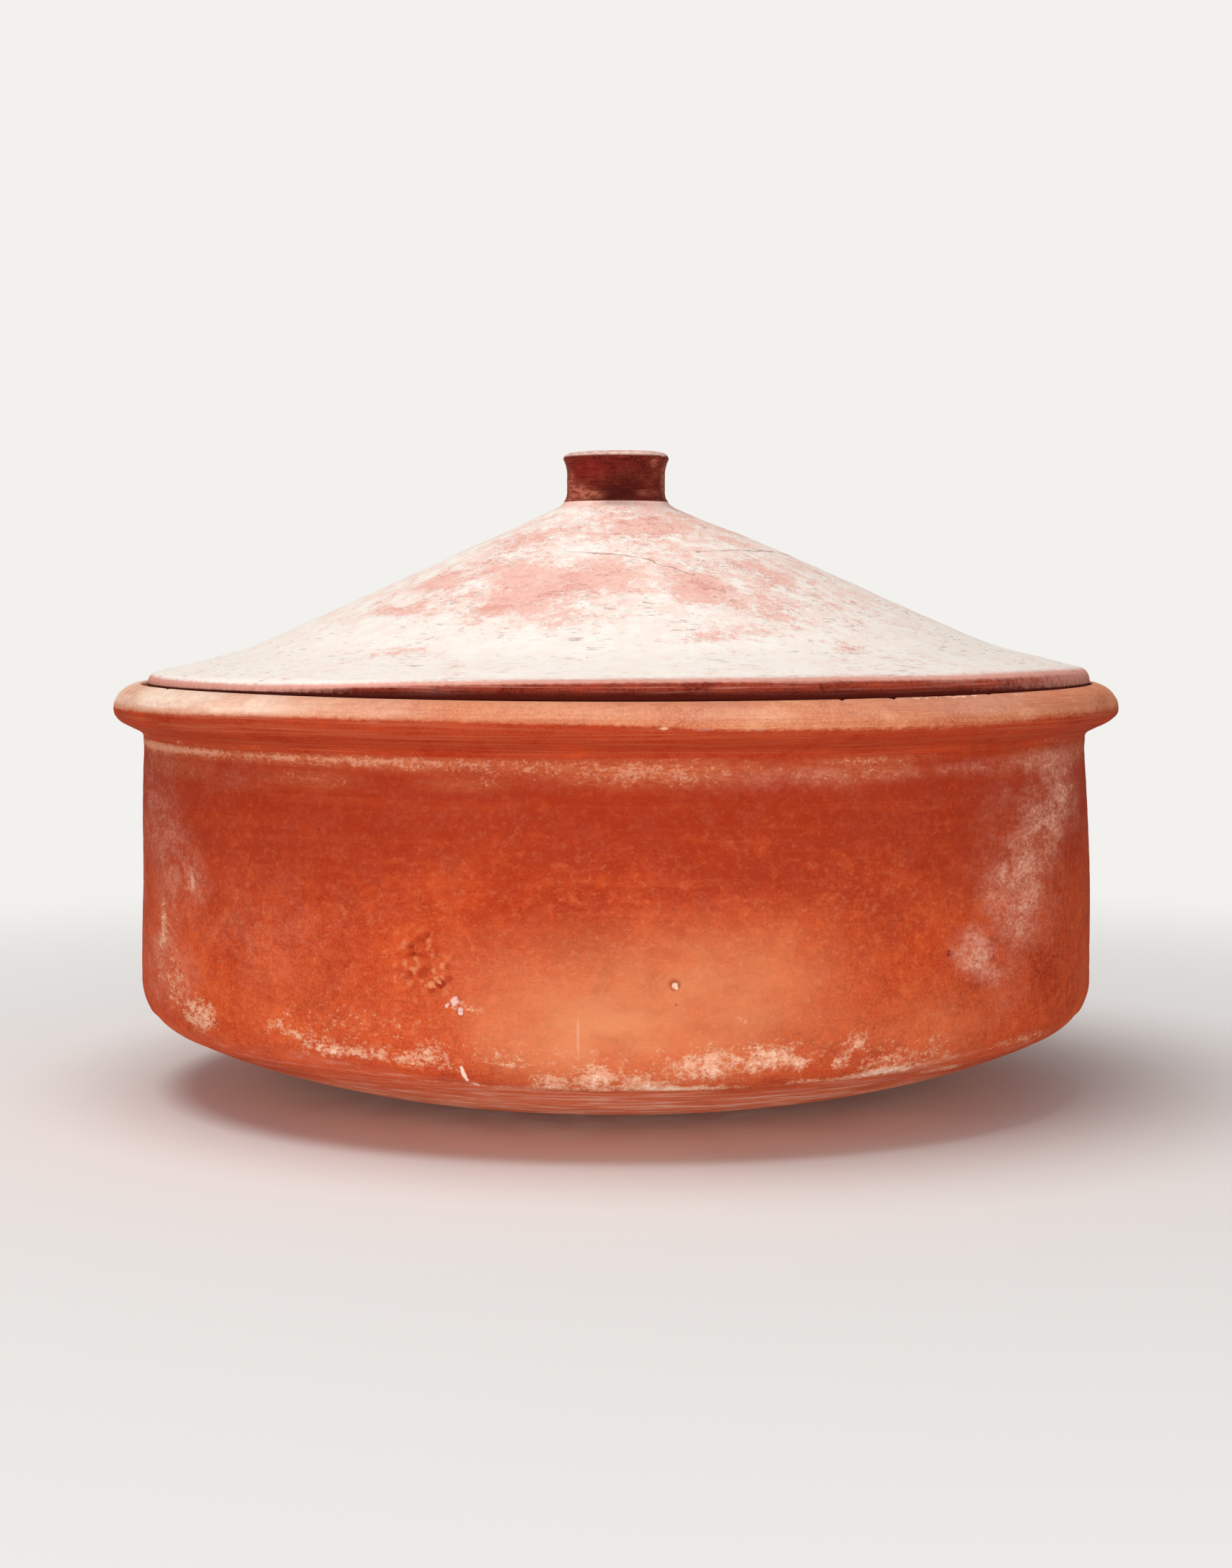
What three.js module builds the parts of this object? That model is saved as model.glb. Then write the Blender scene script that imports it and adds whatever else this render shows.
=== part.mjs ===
// A wide earthenware cooking pot with a conical lid.
// Millimetres, +Z up. The origin is the centre of the flat that the pot stands on.
// The potter's pieces are a thrown bowl, a rim band luted round its mouth, a thrown lid cone
// and a knob luted on top of it. The lid lies loose in the step inside the rim.

import * as THREE from "three";

const degrees = THREE.MathUtils.degToRad;

// The bowl
const wallRadius = 142.9; // outside, where the wall is fullest
const wallThickness = 7;
const floorThickness = 8;
const standRadius = 50; // the flat that the pot stands on
const baseArcRadius = 193; // the shallow round of the base, from the stand to the corner
const cornerRadius = 16; // outside, where the base turns up into the wall
const innerCornerRadius = 12;
const mouthHeight = 105.4; // top of the wall, where the rim band starts
const neckDraw = 1.9; // how far the wall has drawn in at the rim band

// The rim band
const lipOverhang = 9.2; // how far the lip stands out past the neck
const lipRise = 8.4; // from the foot of the band up to the lip's widest level
const lipUnderRound = 3.4; // how far the lip's round reaches down from its widest level
const neckReach = 4.2; // how far out the hollow under the lip reaches, and
const neckClimb = 2.9; // how far it climbs
const crownRise = 7.4; // from the widest level up to the crown
const crownRound = 1; // radius of the crown's inner edge
const lipWidth = 8.1; // from the step's wall out to the lip's widest point
const stepDepth = 2; // how far the lid's seat lies below the crown
const seatWidth = 8.7;
const seatEdgeRound = 1.6; // radius of the seat's inner edge

// The lid
const lidClearance = 1.1; // between the lid's edge and the step's wall, all round
const seatGap = 0.3; // fired clay is never quite flat, so the lid lies this far off its seat
const lidThickness = 6;
const lidFootWidth = 4.9; // of the flat ring under the lid's edge, before its corner is rounded
const edgeTopRound = 2.6;
const edgeBottomRound = 1.4;
const flareSlope = degrees(13.3); // of the outer ring of the lid
const flareWidth = 28.6; // from the edge to the bend
const bendReach = 6; // the bend is spread over this far on both sides
const coneSlope = degrees(23.9); // of the cone inside the bend
const apexReach = 24; // the hollow of the cone is rounded off inside this radius

// The knob
const knobFootRadius = 15.8;
const footFillet = 3.6; // how far the cone's fillet reaches out from the knob's foot
const footRise = 0.9; // how far that fillet climbs above the cone
const knobHeight = 15.2;
const knobWaistRadius = 14.9;
const knobFootFlare = 3; // height over which the foot narrows to the waist
const knobHeadFlare = 4.6; // height over which the waist widens to the head
const knobHeadRadius = 16;
const knobHeadRound = 2.4; // height of the head's rounded edge
const knobCrestReach = 4; // from the head's widest point in to its highest one
const knobDishDepth = 3; // of the dish in the knob's top

// Facets
const turnSteps = 64; // round the pot
const baseSteps = 6;
const cornerSteps = 5;
const wallSteps = 3;
const lipSteps = 6;
const hollowSteps = 6; // the rounded top of the lid's hollow, and the knob's dish
const knobSteps = 9;
const roundSteps = 3; // small rounded edges, and the lid's bend

// Sizes of the pot that follow
const neckRadius = wallRadius - neckDraw;
const rimRadius = neckRadius + lipOverhang;
const lipHeight = mouthHeight + lipRise;
const crownHeight = lipHeight + crownRise;
const stepWallRadius = rimRadius - lipWidth;
const seatHeight = crownHeight - stepDepth;

// Sizes of the lid that follow. Its heights are measured up from its own underside.
const lidRadius = stepWallRadius - lidClearance;
const lidRestHeight = seatHeight + seatGap;
const bendRadius = lidRadius - flareWidth;
const edgeHeight = lidThickness / Math.cos(flareSlope) - lidFootWidth * Math.tan(flareSlope);
const knobFootHeight = coneTopAt(knobFootRadius) + footRise;

// Height of the lid's outside at a radius, on the straight flare and on the straight cone.
function flareTopAt(radius) {
  return edgeHeight + (lidRadius - radius) * Math.tan(flareSlope);
}

function coneTopAt(radius) {
  return flareTopAt(bendRadius) + (bendRadius - radius) * Math.tan(coneSlope);
}

// Height of its underside there.
function flareUnderAt(radius) {
  return flareTopAt(radius) - lidThickness / Math.cos(flareSlope);
}

function coneUnderAt(radius) {
  return coneTopAt(radius) - lidThickness / Math.cos(coneSlope);
}

function point(radius, height) {
  return new THREE.Vector2(radius, height);
}

// Points on an arc. Angles are measured from straight down, towards the outside.
function arc(centreRadius, centreHeight, radius, from, to, steps) {
  return Array.from({ length: steps + 1 }, (_, i) => {
    const angle = from + ((to - from) * i) / steps;
    return point(centreRadius + radius * Math.sin(angle), centreHeight - radius * Math.cos(angle));
  });
}

// Points on a quarter of an ellipse, from its outermost point up to its top.
function quarterEllipse(centreRadius, centreHeight, reach, rise, steps) {
  return new THREE.EllipseCurve(centreRadius, centreHeight, reach, rise, 0, Math.PI / 2).getPoints(steps);
}

// Points on a rounded corner.
function bend(start, corner, end, steps) {
  return new THREE.QuadraticBezierCurve(start, corner, end).getPoints(steps);
}

// Points on an S-shaped or flattened curve, which leaves its start and reaches its end along two handles.
function sweep(start, startHandle, endHandle, end, steps) {
  return new THREE.CubicBezierCurve(start, startHandle, endHandle, end).getPoints(steps);
}

// A solid of revolution about Z. Going along the profile, the clay is on the left.
function turned(name, profile, colour) {
  const geometry = new THREE.LatheGeometry(profile, turnSteps);
  geometry.rotateX(Math.PI / 2);
  const clay = new THREE.MeshStandardMaterial({ color: colour, roughness: 0.85, metalness: 0 });
  const mesh = new THREE.Mesh(geometry, clay);
  mesh.name = name;
  return mesh;
}

// One face of the bowl from the axis out to the top of the wall: a flat, a shallow arc,
// a corner that is tangent to that arc and to the wall, and the wall, drawn in a little at the neck.
function bowlFace(depth, side, corner) {
  const baseArc = baseArcRadius - depth;
  const cornerCentre = side - corner;
  const cornerDrop = Math.sqrt((baseArc - corner) ** 2 - (cornerCentre - standRadius) ** 2);
  const cornerHeight = baseArcRadius - cornerDrop;
  const meeting = Math.atan2(cornerCentre - standRadius, cornerDrop);
  const wall = Array.from({ length: wallSteps }, (_, i) => {
    const share = (i + 1) / wallSteps;
    return point(side - neckDraw * share ** 2, cornerHeight + (mouthHeight - cornerHeight) * share);
  });
  return [
    point(0, depth),
    ...arc(standRadius, baseArcRadius, baseArc, 0, meeting, baseSteps),
    ...arc(cornerCentre, cornerHeight, corner, meeting, Math.PI / 2, cornerSteps).slice(1),
    ...wall,
  ];
}

function potBowl() {
  const outside = bowlFace(0, wallRadius, cornerRadius);
  const inside = bowlFace(floorThickness, wallRadius - wallThickness, innerCornerRadius);
  return turned("pot_bowl", [...outside, ...inside.reverse()], "#c4512d");
}

// The band stands face to face on the top of the wall.
function potRim() {
  const crownRadius = stepWallRadius + crownRound;
  const seatInnerRadius = stepWallRadius - seatWidth;
  const underLip = sweep(
    point(neckRadius, mouthHeight),
    point(neckRadius + neckReach, mouthHeight + neckClimb),
    point(rimRadius, lipHeight - lipUnderRound),
    point(rimRadius, lipHeight),
    lipSteps,
  );
  const lipTop = quarterEllipse(crownRadius, lipHeight, rimRadius - crownRadius, crownRise, lipSteps);
  const crownEdge = bend(
    point(crownRadius, crownHeight),
    point(stepWallRadius, crownHeight),
    point(stepWallRadius, crownHeight - crownRound),
    roundSteps,
  );
  const seatEdge = bend(
    point(seatInnerRadius + seatEdgeRound, seatHeight),
    point(seatInnerRadius, seatHeight),
    point(seatInnerRadius, seatHeight - seatEdgeRound),
    roundSteps,
  );
  const profile = [
    ...underLip,
    ...lipTop.slice(1),
    ...crownEdge.slice(1),
    point(stepWallRadius, seatHeight),
    ...seatEdge,
    point(neckRadius - wallThickness, mouthHeight),
    point(neckRadius, mouthHeight),
  ];
  return turned("pot_rim", profile, "#d0764f");
}

function lidCone() {
  const innerBend = bendRadius - bendReach;
  const outerBend = bendRadius + bendReach;
  const filletEnd = knobFootRadius + footFillet;
  const hollowTop = coneUnderAt(apexReach / 2);
  const topRound = Math.min(edgeTopRound, edgeHeight - edgeBottomRound);
  const underside = [
    ...bend(
      point(0, hollowTop),
      point(apexReach / 2, hollowTop),
      point(apexReach, coneUnderAt(apexReach)),
      hollowSteps,
    ),
    ...bend(
      point(innerBend, coneUnderAt(innerBend)),
      point(bendRadius, flareUnderAt(bendRadius)),
      point(outerBend, flareUnderAt(outerBend)),
      roundSteps,
    ),
    point(lidRadius - lidFootWidth, 0),
  ];
  const edge = [
    ...arc(lidRadius - edgeBottomRound, edgeBottomRound, edgeBottomRound, 0, Math.PI / 2, roundSteps),
    ...bend(
      point(lidRadius, edgeHeight - topRound),
      point(lidRadius, edgeHeight),
      point(lidRadius - topRound, flareTopAt(lidRadius - topRound)),
      roundSteps,
    ),
  ];
  const top = [
    ...bend(
      point(outerBend, flareTopAt(outerBend)),
      point(bendRadius, flareTopAt(bendRadius)),
      point(innerBend, coneTopAt(innerBend)),
      roundSteps,
    ),
    ...bend(
      point(filletEnd, coneTopAt(filletEnd)),
      point(knobFootRadius, coneTopAt(knobFootRadius)),
      point(knobFootRadius, knobFootHeight),
      roundSteps,
    ),
    point(0, knobFootHeight),
  ];
  return turned("lid_cone", [...underside, ...edge, ...top], "#e3b9a4");
}

// The knob stands face to face on the flat in the middle of the lid cone.
function lidKnob() {
  const top = knobFootHeight + knobHeight;
  const headHeight = top - knobHeadRound;
  const crestRadius = knobHeadRadius - knobCrestReach;
  const side = new THREE.SplineCurve([
    point(knobFootRadius, knobFootHeight),
    point(knobWaistRadius, knobFootHeight + knobFootFlare),
    point(knobWaistRadius, headHeight - knobHeadFlare),
    point(knobHeadRadius, headHeight),
  ]).getPoints(knobSteps);
  const headEdge = bend(
    point(knobHeadRadius, headHeight),
    point(knobHeadRadius, top),
    point(crestRadius, top),
    roundSteps,
  );
  const dish = sweep(
    point(crestRadius, top),
    point(crestRadius / 2, top),
    point(crestRadius / 2, top - knobDishDepth),
    point(0, top - knobDishDepth),
    hollowSteps,
  );
  const profile = [point(0, knobFootHeight), ...side, ...headEdge.slice(1), ...dish.slice(1)];
  return turned("lid_knob", profile, "#7d3423");
}

const lid = new THREE.Group();
lid.add(lidCone(), lidKnob());
lid.position.z = lidRestHeight;

const pot = new THREE.Group();
pot.add(potBowl(), potRim(), lid);

export default pot;
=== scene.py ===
import math
from collections import namedtuple

import bpy
import numpy as np
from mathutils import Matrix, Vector, noise


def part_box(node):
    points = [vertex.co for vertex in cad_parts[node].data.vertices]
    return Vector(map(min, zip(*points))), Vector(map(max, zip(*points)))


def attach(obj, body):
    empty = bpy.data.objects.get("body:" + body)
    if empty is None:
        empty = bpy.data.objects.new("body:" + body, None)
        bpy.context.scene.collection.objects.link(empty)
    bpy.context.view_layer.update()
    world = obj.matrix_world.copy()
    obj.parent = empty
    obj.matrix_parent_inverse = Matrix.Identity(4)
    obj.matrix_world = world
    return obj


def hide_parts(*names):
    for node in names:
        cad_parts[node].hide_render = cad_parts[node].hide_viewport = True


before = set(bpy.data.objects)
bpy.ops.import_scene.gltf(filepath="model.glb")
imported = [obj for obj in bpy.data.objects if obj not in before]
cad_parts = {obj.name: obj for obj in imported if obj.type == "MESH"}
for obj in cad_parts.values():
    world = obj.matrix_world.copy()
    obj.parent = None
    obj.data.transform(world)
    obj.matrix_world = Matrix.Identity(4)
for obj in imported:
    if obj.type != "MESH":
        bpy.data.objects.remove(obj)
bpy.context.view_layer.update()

bl_info = {
    "name": "Earthenware Cooking Pot",
    "version": (1, 0, 0),
    "blender": (4, 5, 0),
    "location": "View3D > Sidebar > Cooking Pot",
    "description": "Throws, weathers and lights an earthenware cooking pot with a loose conical lid",
    "category": "Add Mesh",
}

_, bowl_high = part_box("pot_bowl")
rim_low, rim_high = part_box("pot_rim")
cone_low, cone_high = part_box("lid_cone")
knob_low, knob_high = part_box("lid_knob")

MM = 0.001
FULL_TURN = 2 * math.pi
CURVE_SAMPLES = 24  # points that measure how long a curve is
CURVE_JOIN = 0.01 * MM  # curves that meet this closely share a point
MERGE_REACH = 0.005 * MM
LEAST_TOUCH = 1e-4  # millimetres, below which clay isn't moved
LEAST_SHARE = 1e-4  # share of the greatest touch, below which a point stays where it is

# The sizes in the property groups are in metres. All that is worked out from a survey of a piece's points,
# and all marks and materials, are in millimetres and in degrees round the pot.

# A soft mark on a piece. The angle is 0 at the front and grows to the right.
# The level is a height, or on the lid a radius.
Mark = namedtuple("Mark", "angle level width rise strength")
# Lines left by the wheel: how high and how wide they are, how quickly they change round the pot, and a
# place in the noise of their own
Lines = namedtuple("Lines", "height width turns offset")


# Sizes and colours

def linear(red, green, blue):
    """The linear colour of three bytes as a paint shop gives them."""
    shares = (red / 255, green / 255, blue / 255)
    return tuple(s / 12.92 if s <= 0.04045 else ((s + 0.055) / 1.055) ** 2.4 for s in shares)


def length(name, description, default):
    return bpy.props.FloatProperty(
        name=name, description=description, default=default, min=0, precision=5, unit="LENGTH",
        subtype="DISTANCE",
    )


def slope(name, description, degrees):
    return bpy.props.FloatProperty(
        name=name, description=description, default=math.radians(degrees), subtype="ANGLE",
    )


def power(name, description, default):
    return bpy.props.FloatProperty(
        name=name, description=description, default=default, min=0, subtype="POWER",
    )


def count(name, description, default):
    return bpy.props.IntProperty(name=name, description=description, default=default, min=3)


def colour(name, description, red, green, blue):
    return bpy.props.FloatVectorProperty(
        name=name, description=description, default=linear(red, green, blue), min=0, max=1, subtype="COLOR",
    )


class BowlSizes(bpy.types.PropertyGroup):
    """Sizes of the bowl"""
    wall_radius: length("Wall radius", "Outside of the wall where it is fullest", bowl_high.x)
    wall_thickness: length("Wall thickness", "Clay in the wall", 7 * MM)
    floor_thickness: length("Floor thickness", "Clay in the floor", 8 * MM)
    mouth_height: length("Mouth height", "Top of the wall, where the rim band starts", bowl_high.z)
    stand_radius: length("Stand radius", "Flat that the pot stands on", 50 * MM)
    base_arc: length("Base arc radius", "Shallow round of the base", 193 * MM)
    corner_outside: length("Outer corner radius", "Where the base turns up into the wall", 16 * MM)
    corner_inside: length("Inner corner radius", "Where the floor turns up into the wall", 12 * MM)
    neck_draw: length("Neck draw", "How far the wall has drawn in at the rim band", 1.9 * MM)
    outer_gap: length("Outer ring gap", "Distance between rings of faces outside", 1.35 * MM)
    inner_gap: length("Inner ring gap", "Distance between rings of faces inside", 4.2 * MM)
    finger_ridge: length("Finger ridge", "Height of the thrower's ridges inside", 0.45 * MM)
    finger_pitch: length("Finger pitch", "Distance between the thrower's ridges", 9.5 * MM)
    trim_step: length("Trimming step", "Depth that the base was trimmed to below the corner line", 0.4 * MM)
    steps: count("Steps", "Faces round the bowl", 360)


class RimSizes(bpy.types.PropertyGroup):
    """Sizes of the rim band"""
    radius: length("Lip radius", "Widest line of the lip", rim_high.x)
    foot_height: length("Foot height", "Where the band stands on the wall", rim_low.z)
    crown_height: length("Crown height", "Highest line of the rim", rim_high.z)
    lip_rise: length("Lip rise", "From the foot up to the widest line", 8.4 * MM)
    lip_under_round: length("Lip under-round", "How far the lip's round reaches down", 3.4 * MM)
    hollow_reach: length("Hollow reach", "How far out the hollow under the lip reaches", 3.0 * MM)
    hollow_climb: length("Hollow climb", "How far the hollow under the lip climbs", 2.7 * MM)
    hollow_turn: length("Hollow turn", "How high the hollow's clay rises before it turns out", 1.6 * MM)
    lip_width: length("Lip width", "From the step's wall out to the lip", 8.1 * MM)
    crown_round: length("Crown round", "Radius of the crown's inner edge", 1.0 * MM)
    step_depth: length("Step depth", "How far the lid's seat lies below the crown", 2.0 * MM)
    seat_width: length("Seat width", "Width of the lid's seat", 8.7 * MM)
    seat_round: length("Seat round", "Radius of the seat's inner edge", 1.6 * MM)
    front_dip: length("Front dip", "How far the crown sags at the front", 1.35 * MM)
    gap: length("Ring gap", "Distance between rings of faces", 0.5 * MM)
    steps: count("Steps", "Faces round the rim", 512)


class LidSizes(bpy.types.PropertyGroup):
    """Sizes of the lid and its knob"""
    radius: length("Lid radius", "Edge of the lid", cone_high.x)
    rest_height: length("Rest height", "Underside of the lid on its seat", cone_low.z)
    thickness: length("Lid thickness", "Clay in the lid", 6 * MM)
    foot_width: length("Foot width", "Flat ring under the edge", 4.9 * MM)
    edge_top_round: length("Upper edge round", "Radius of the edge's upper corner", 3.4 * MM)
    edge_bottom_round: length("Lower edge round", "Radius of the edge's lower corner", 1.4 * MM)
    flare_slope: slope("Flare slope", "Slope of the outer ring", 13.3)
    cone_slope: slope("Cone slope", "Slope of the cone", 23.9)
    flare_width: length("Flare width", "From the edge in to the bend", 28.6 * MM)
    bend_reach: length("Bend reach", "How far the bend is spread on both sides", 6 * MM)
    apex_reach: length("Apex reach", "Where the hollow of the cone is rounded off", 24 * MM)
    foot_fillet: length("Foot fillet", "How far the fillet reaches out from the knob's foot", 3.6 * MM)
    belly: length("Cone belly", "How much fuller than straight the cone is", 0.5 * MM)
    right_rise: length("Right rise", "How much higher the lid's right edge is than its middle", 0.9 * MM)
    right_shift: length("Right shift", "How far the lid has slid to the right in its step", 0.8 * MM)
    outer_gap: length("Outer ring gap", "Distance between rings of faces on top", 1.0 * MM)
    edge_gap: length("Edge ring gap", "Distance between rings of faces on the edge", 0.35 * MM)
    inner_gap: length("Inner ring gap", "Distance between rings of faces underneath", 2.6 * MM)
    steps: count("Steps", "Faces round the lid", 384)
    finger_ridge: length("Finger ridge", "Height of the thrower's ridges underneath", 0.4 * MM)
    finger_pitch: length("Finger pitch", "Distance between the thrower's ridges", 8.5 * MM)
    knob_foot_height: length("Knob foot height", "Where the knob stands on the lid", knob_low.z)
    knob_top_height: length("Knob top height", "Highest line of the knob", knob_high.z)
    knob_head_radius: length("Knob head radius", "Widest line of the knob", knob_high.x)
    knob_foot_radius: length("Knob foot radius", "Foot of the knob", 15.8 * MM)
    knob_waist_radius: length("Knob waist radius", "Narrowest line of the knob", 14.9 * MM)
    knob_foot_flare: length("Knob foot flare", "Height over which the foot narrows", 3 * MM)
    knob_head_flare: length("Knob head flare", "Height over which the head widens", 4.6 * MM)
    knob_head_round: length("Knob head round", "Height of the head's rounded edge", 2.4 * MM)
    knob_crest_reach: length("Knob crest reach", "From the widest line in to the highest", 4 * MM)
    knob_dish: length("Knob dish", "Depth of the dish in the knob's top", 3 * MM)
    knob_gap: length("Knob ring gap", "Distance between rings of faces on the knob", 0.35 * MM)
    knob_steps: count("Knob steps", "Faces round the knob", 160)


class PotColours(bpy.types.PropertyGroup):
    """Colours of the clay, of what has settled on it, and of the light and shade painted on it"""
    wall_light: colour("Wall light", "Brightest clay of the wall", 216, 90, 42)
    wall_mid: colour("Wall middle", "Clay of the wall", 191, 67, 30)
    # Also the painted shade that darkens the wall high up, under the lip.
    wall_dark: colour("Wall dark", "Deepest clay of the wall", 160, 46, 19)
    # Partly wear, and partly painted bounce light from the floor low on the front.
    worn_and_bounce_lit: colour("Worn clay", "Lighter clay low on the front", 225, 144, 98)
    # Partly the trimmed clay's own colour and partly painted light that brightens the base.
    foot: colour("Foot clay", "Clay of the trimmed base", 246, 150, 112)
    haze: colour("Haze", "Thin pink dust on the wall", 232, 166, 142)
    stain: colour("Stain", "Thin orange film round the deposits", 230, 148, 98)
    crust: colour("Crust", "Pale deposit on the neck and the base", 240, 188, 158)
    crust_bright: colour("Bright crust", "Thickest of the pale deposit", 252, 226, 206)
    # The rim's top is painted lit: a paler copy of its clay, as if lit from above.
    lit_rim_light: colour("Rim light", "Brightest clay of the rim", 228, 156, 116)
    lit_rim_mid: colour("Rim middle", "Clay of the rim's top", 210, 126, 86)
    lit_rim_dark: colour("Rim dark", "Deepest clay of the rim's top", 190, 98, 66)
    # The rim's underside is painted in shade; the same colour is the painted shade in deep chips and a tone
    # of the lid's edge.
    shaded_rim_under: colour("Rim underside", "Clay under the lip", 170, 62, 35)
    # Also the painted highlight on the shallow edges of chips.
    rim_dust_and_highlight: colour("Rim dust", "Pale dust on the rim's top", 248, 220, 198)
    lid_light: colour("Lid light", "Palest bare clay of the lid", 244, 202, 189)
    lid_mid: colour("Lid middle", "Bare clay of the lid", 240, 188, 173)
    lid_dark: colour("Lid dark", "Reddest bare clay of the lid", 222, 156, 142)
    lid_thin: colour("Thin bloom", "Bloom that the clay shows through", 247, 222, 210)
    lid_bloom: colour("Lid bloom", "White bloom on the lid", 248, 242, 233)
    # Partly the edge's bare clay and partly painted shade on its face.
    lid_edge_clay_and_shade: colour("Lid edge", "Bare clay of the lid's edge", 142, 60, 43)
    # Also a painted highlight in the rings and on the upper round of the lid's edge.
    lid_edge_dust_and_highlight: colour("Lid edge dust", "Where the bloom ends on the lid's edge", 222, 158, 142)
    lid_under: colour("Lid underside", "Clay under the lid", 204, 112, 78)
    knob_light: colour("Knob light", "Rubbed clay of the knob", 136, 58, 41)
    knob_mid: colour("Knob middle", "Clay of the knob", 98, 29, 20)
    knob_dark: colour("Knob dark", "Deepest clay of the knob", 66, 17, 12)
    knob_red: colour("Knob red", "Redder clay of the knob", 128, 28, 24)
    # Also the painted rim light along the knob's sides.
    knob_rubbed_and_rim_lit: colour("Knob rubbed", "Where hands have rubbed the knob", 200, 116, 92)
    # Also the painted highlight along the knob's top edge.
    knob_dust_and_highlight: colour("Knob dust", "Pale dust on the knob's top", 236, 196, 184)
    inside: colour("Inside", "Clay inside the bowl", 198, 98, 64)
    lime: colour("Lime", "White grits in the wall", 236, 196, 188)
    pebble: colour("Pebble", "Stone in the wall", 246, 204, 176)
    # Mostly painted shade: in the rim's step, in the gap under the lid, under the knob's foot, in the stones'
    # holes and in small pits.
    soil_and_shade: colour("Soil", "Dirt in pits and in the step", 84, 26, 16)
    dirt: colour("Dirt", "Brown flecks and cracks in the bloom", 150, 112, 98)


SETTINGS = {
    "pot_bowl_sizes": BowlSizes,
    "pot_rim_sizes": RimSizes,
    "pot_lid_sizes": LidSizes,
    "pot_colours": PotColours,
}


# Outlines. A point is a radius and a height, and a curve is a function of a share from 0 to 1.

def point(radius, height):
    return Vector((radius, height))


def straight(start, end):
    return lambda share: start.lerp(end, share)


def arc(centre, radius, start, end):
    """Part of a circle. Its angles are measured from straight down, towards the outside."""
    def at(share):
        angle = start + (end - start) * share
        return centre + radius * Vector((math.sin(angle), -math.cos(angle)))
    return at


def quarter_ellipse(centre, reach, rise):
    """From the outermost point up to the top."""
    def at(share):
        angle = share * math.pi / 2
        return centre + Vector((reach * math.cos(angle), rise * math.sin(angle)))
    return at


def bowed(start, corner, end):
    return lambda share: start.lerp(corner, share).lerp(corner.lerp(end, share), share)


def swept(start, first, second, end):
    def at(share):
        early, late = bowed(start, first, second)(share), bowed(first, second, end)(share)
        return early.lerp(late, share)
    return at


def outline(gap, *curves):
    """The points of curves that follow on each other, about one gap apart."""
    points = []
    for curve in curves:
        rough = [curve(i / CURVE_SAMPLES) for i in range(CURVE_SAMPLES + 1)]
        steps = max(1, round(sum((b - a).length for a, b in zip(rough, rough[1:])) / gap))
        fresh = [curve(i / steps) for i in range(steps + 1)]
        joined = bool(points) and (points[-1] - fresh[0]).length < CURVE_JOIN
        points.extend(fresh[1:] if joined else fresh)
    return points


# Modelling

def activate(piece):
    bpy.ops.object.select_all(action="DESELECT")
    piece.select_set(True)
    bpy.context.view_layer.objects.active = piece


def throw(name, points, steps):
    """Draws half of a section from one point, turns it about the wheel's axis and closes it."""
    bpy.ops.object.select_all(action="DESELECT")
    bpy.ops.mesh.primitive_plane_add(size=MM, location=(points[0].x, 0, points[0].y))
    piece = bpy.context.object
    piece.name = piece.data.name = name
    bpy.ops.object.transform_apply(location=True, rotation=True, scale=True)
    bpy.ops.object.mode_set(mode="EDIT")
    bpy.ops.mesh.select_mode(type="VERT")
    bpy.ops.mesh.select_all(action="SELECT")
    bpy.ops.mesh.merge(type="CENTER")
    for here, there in zip(points, points[1:]):
        step = (there.x - here.x, 0, there.y - here.y)
        bpy.ops.mesh.extrude_vertices_move(TRANSFORM_OT_translate={"value": step})
    bpy.ops.object.mode_set(mode="OBJECT")
    bpy.ops.object.modifier_add(type="SCREW")
    wheel = piece.modifiers[-1]
    wheel.steps = wheel.render_steps = steps
    wheel.use_merge_vertices = True
    wheel.merge_threshold = MERGE_REACH
    bpy.ops.object.modifier_apply(modifier=wheel.name)
    bpy.ops.object.mode_set(mode="EDIT")
    bpy.ops.mesh.select_all(action="SELECT")
    bpy.ops.mesh.remove_doubles(threshold=MERGE_REACH)
    bpy.ops.mesh.normals_make_consistent(inside=False)
    bpy.ops.object.mode_set(mode="OBJECT")
    return piece


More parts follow.
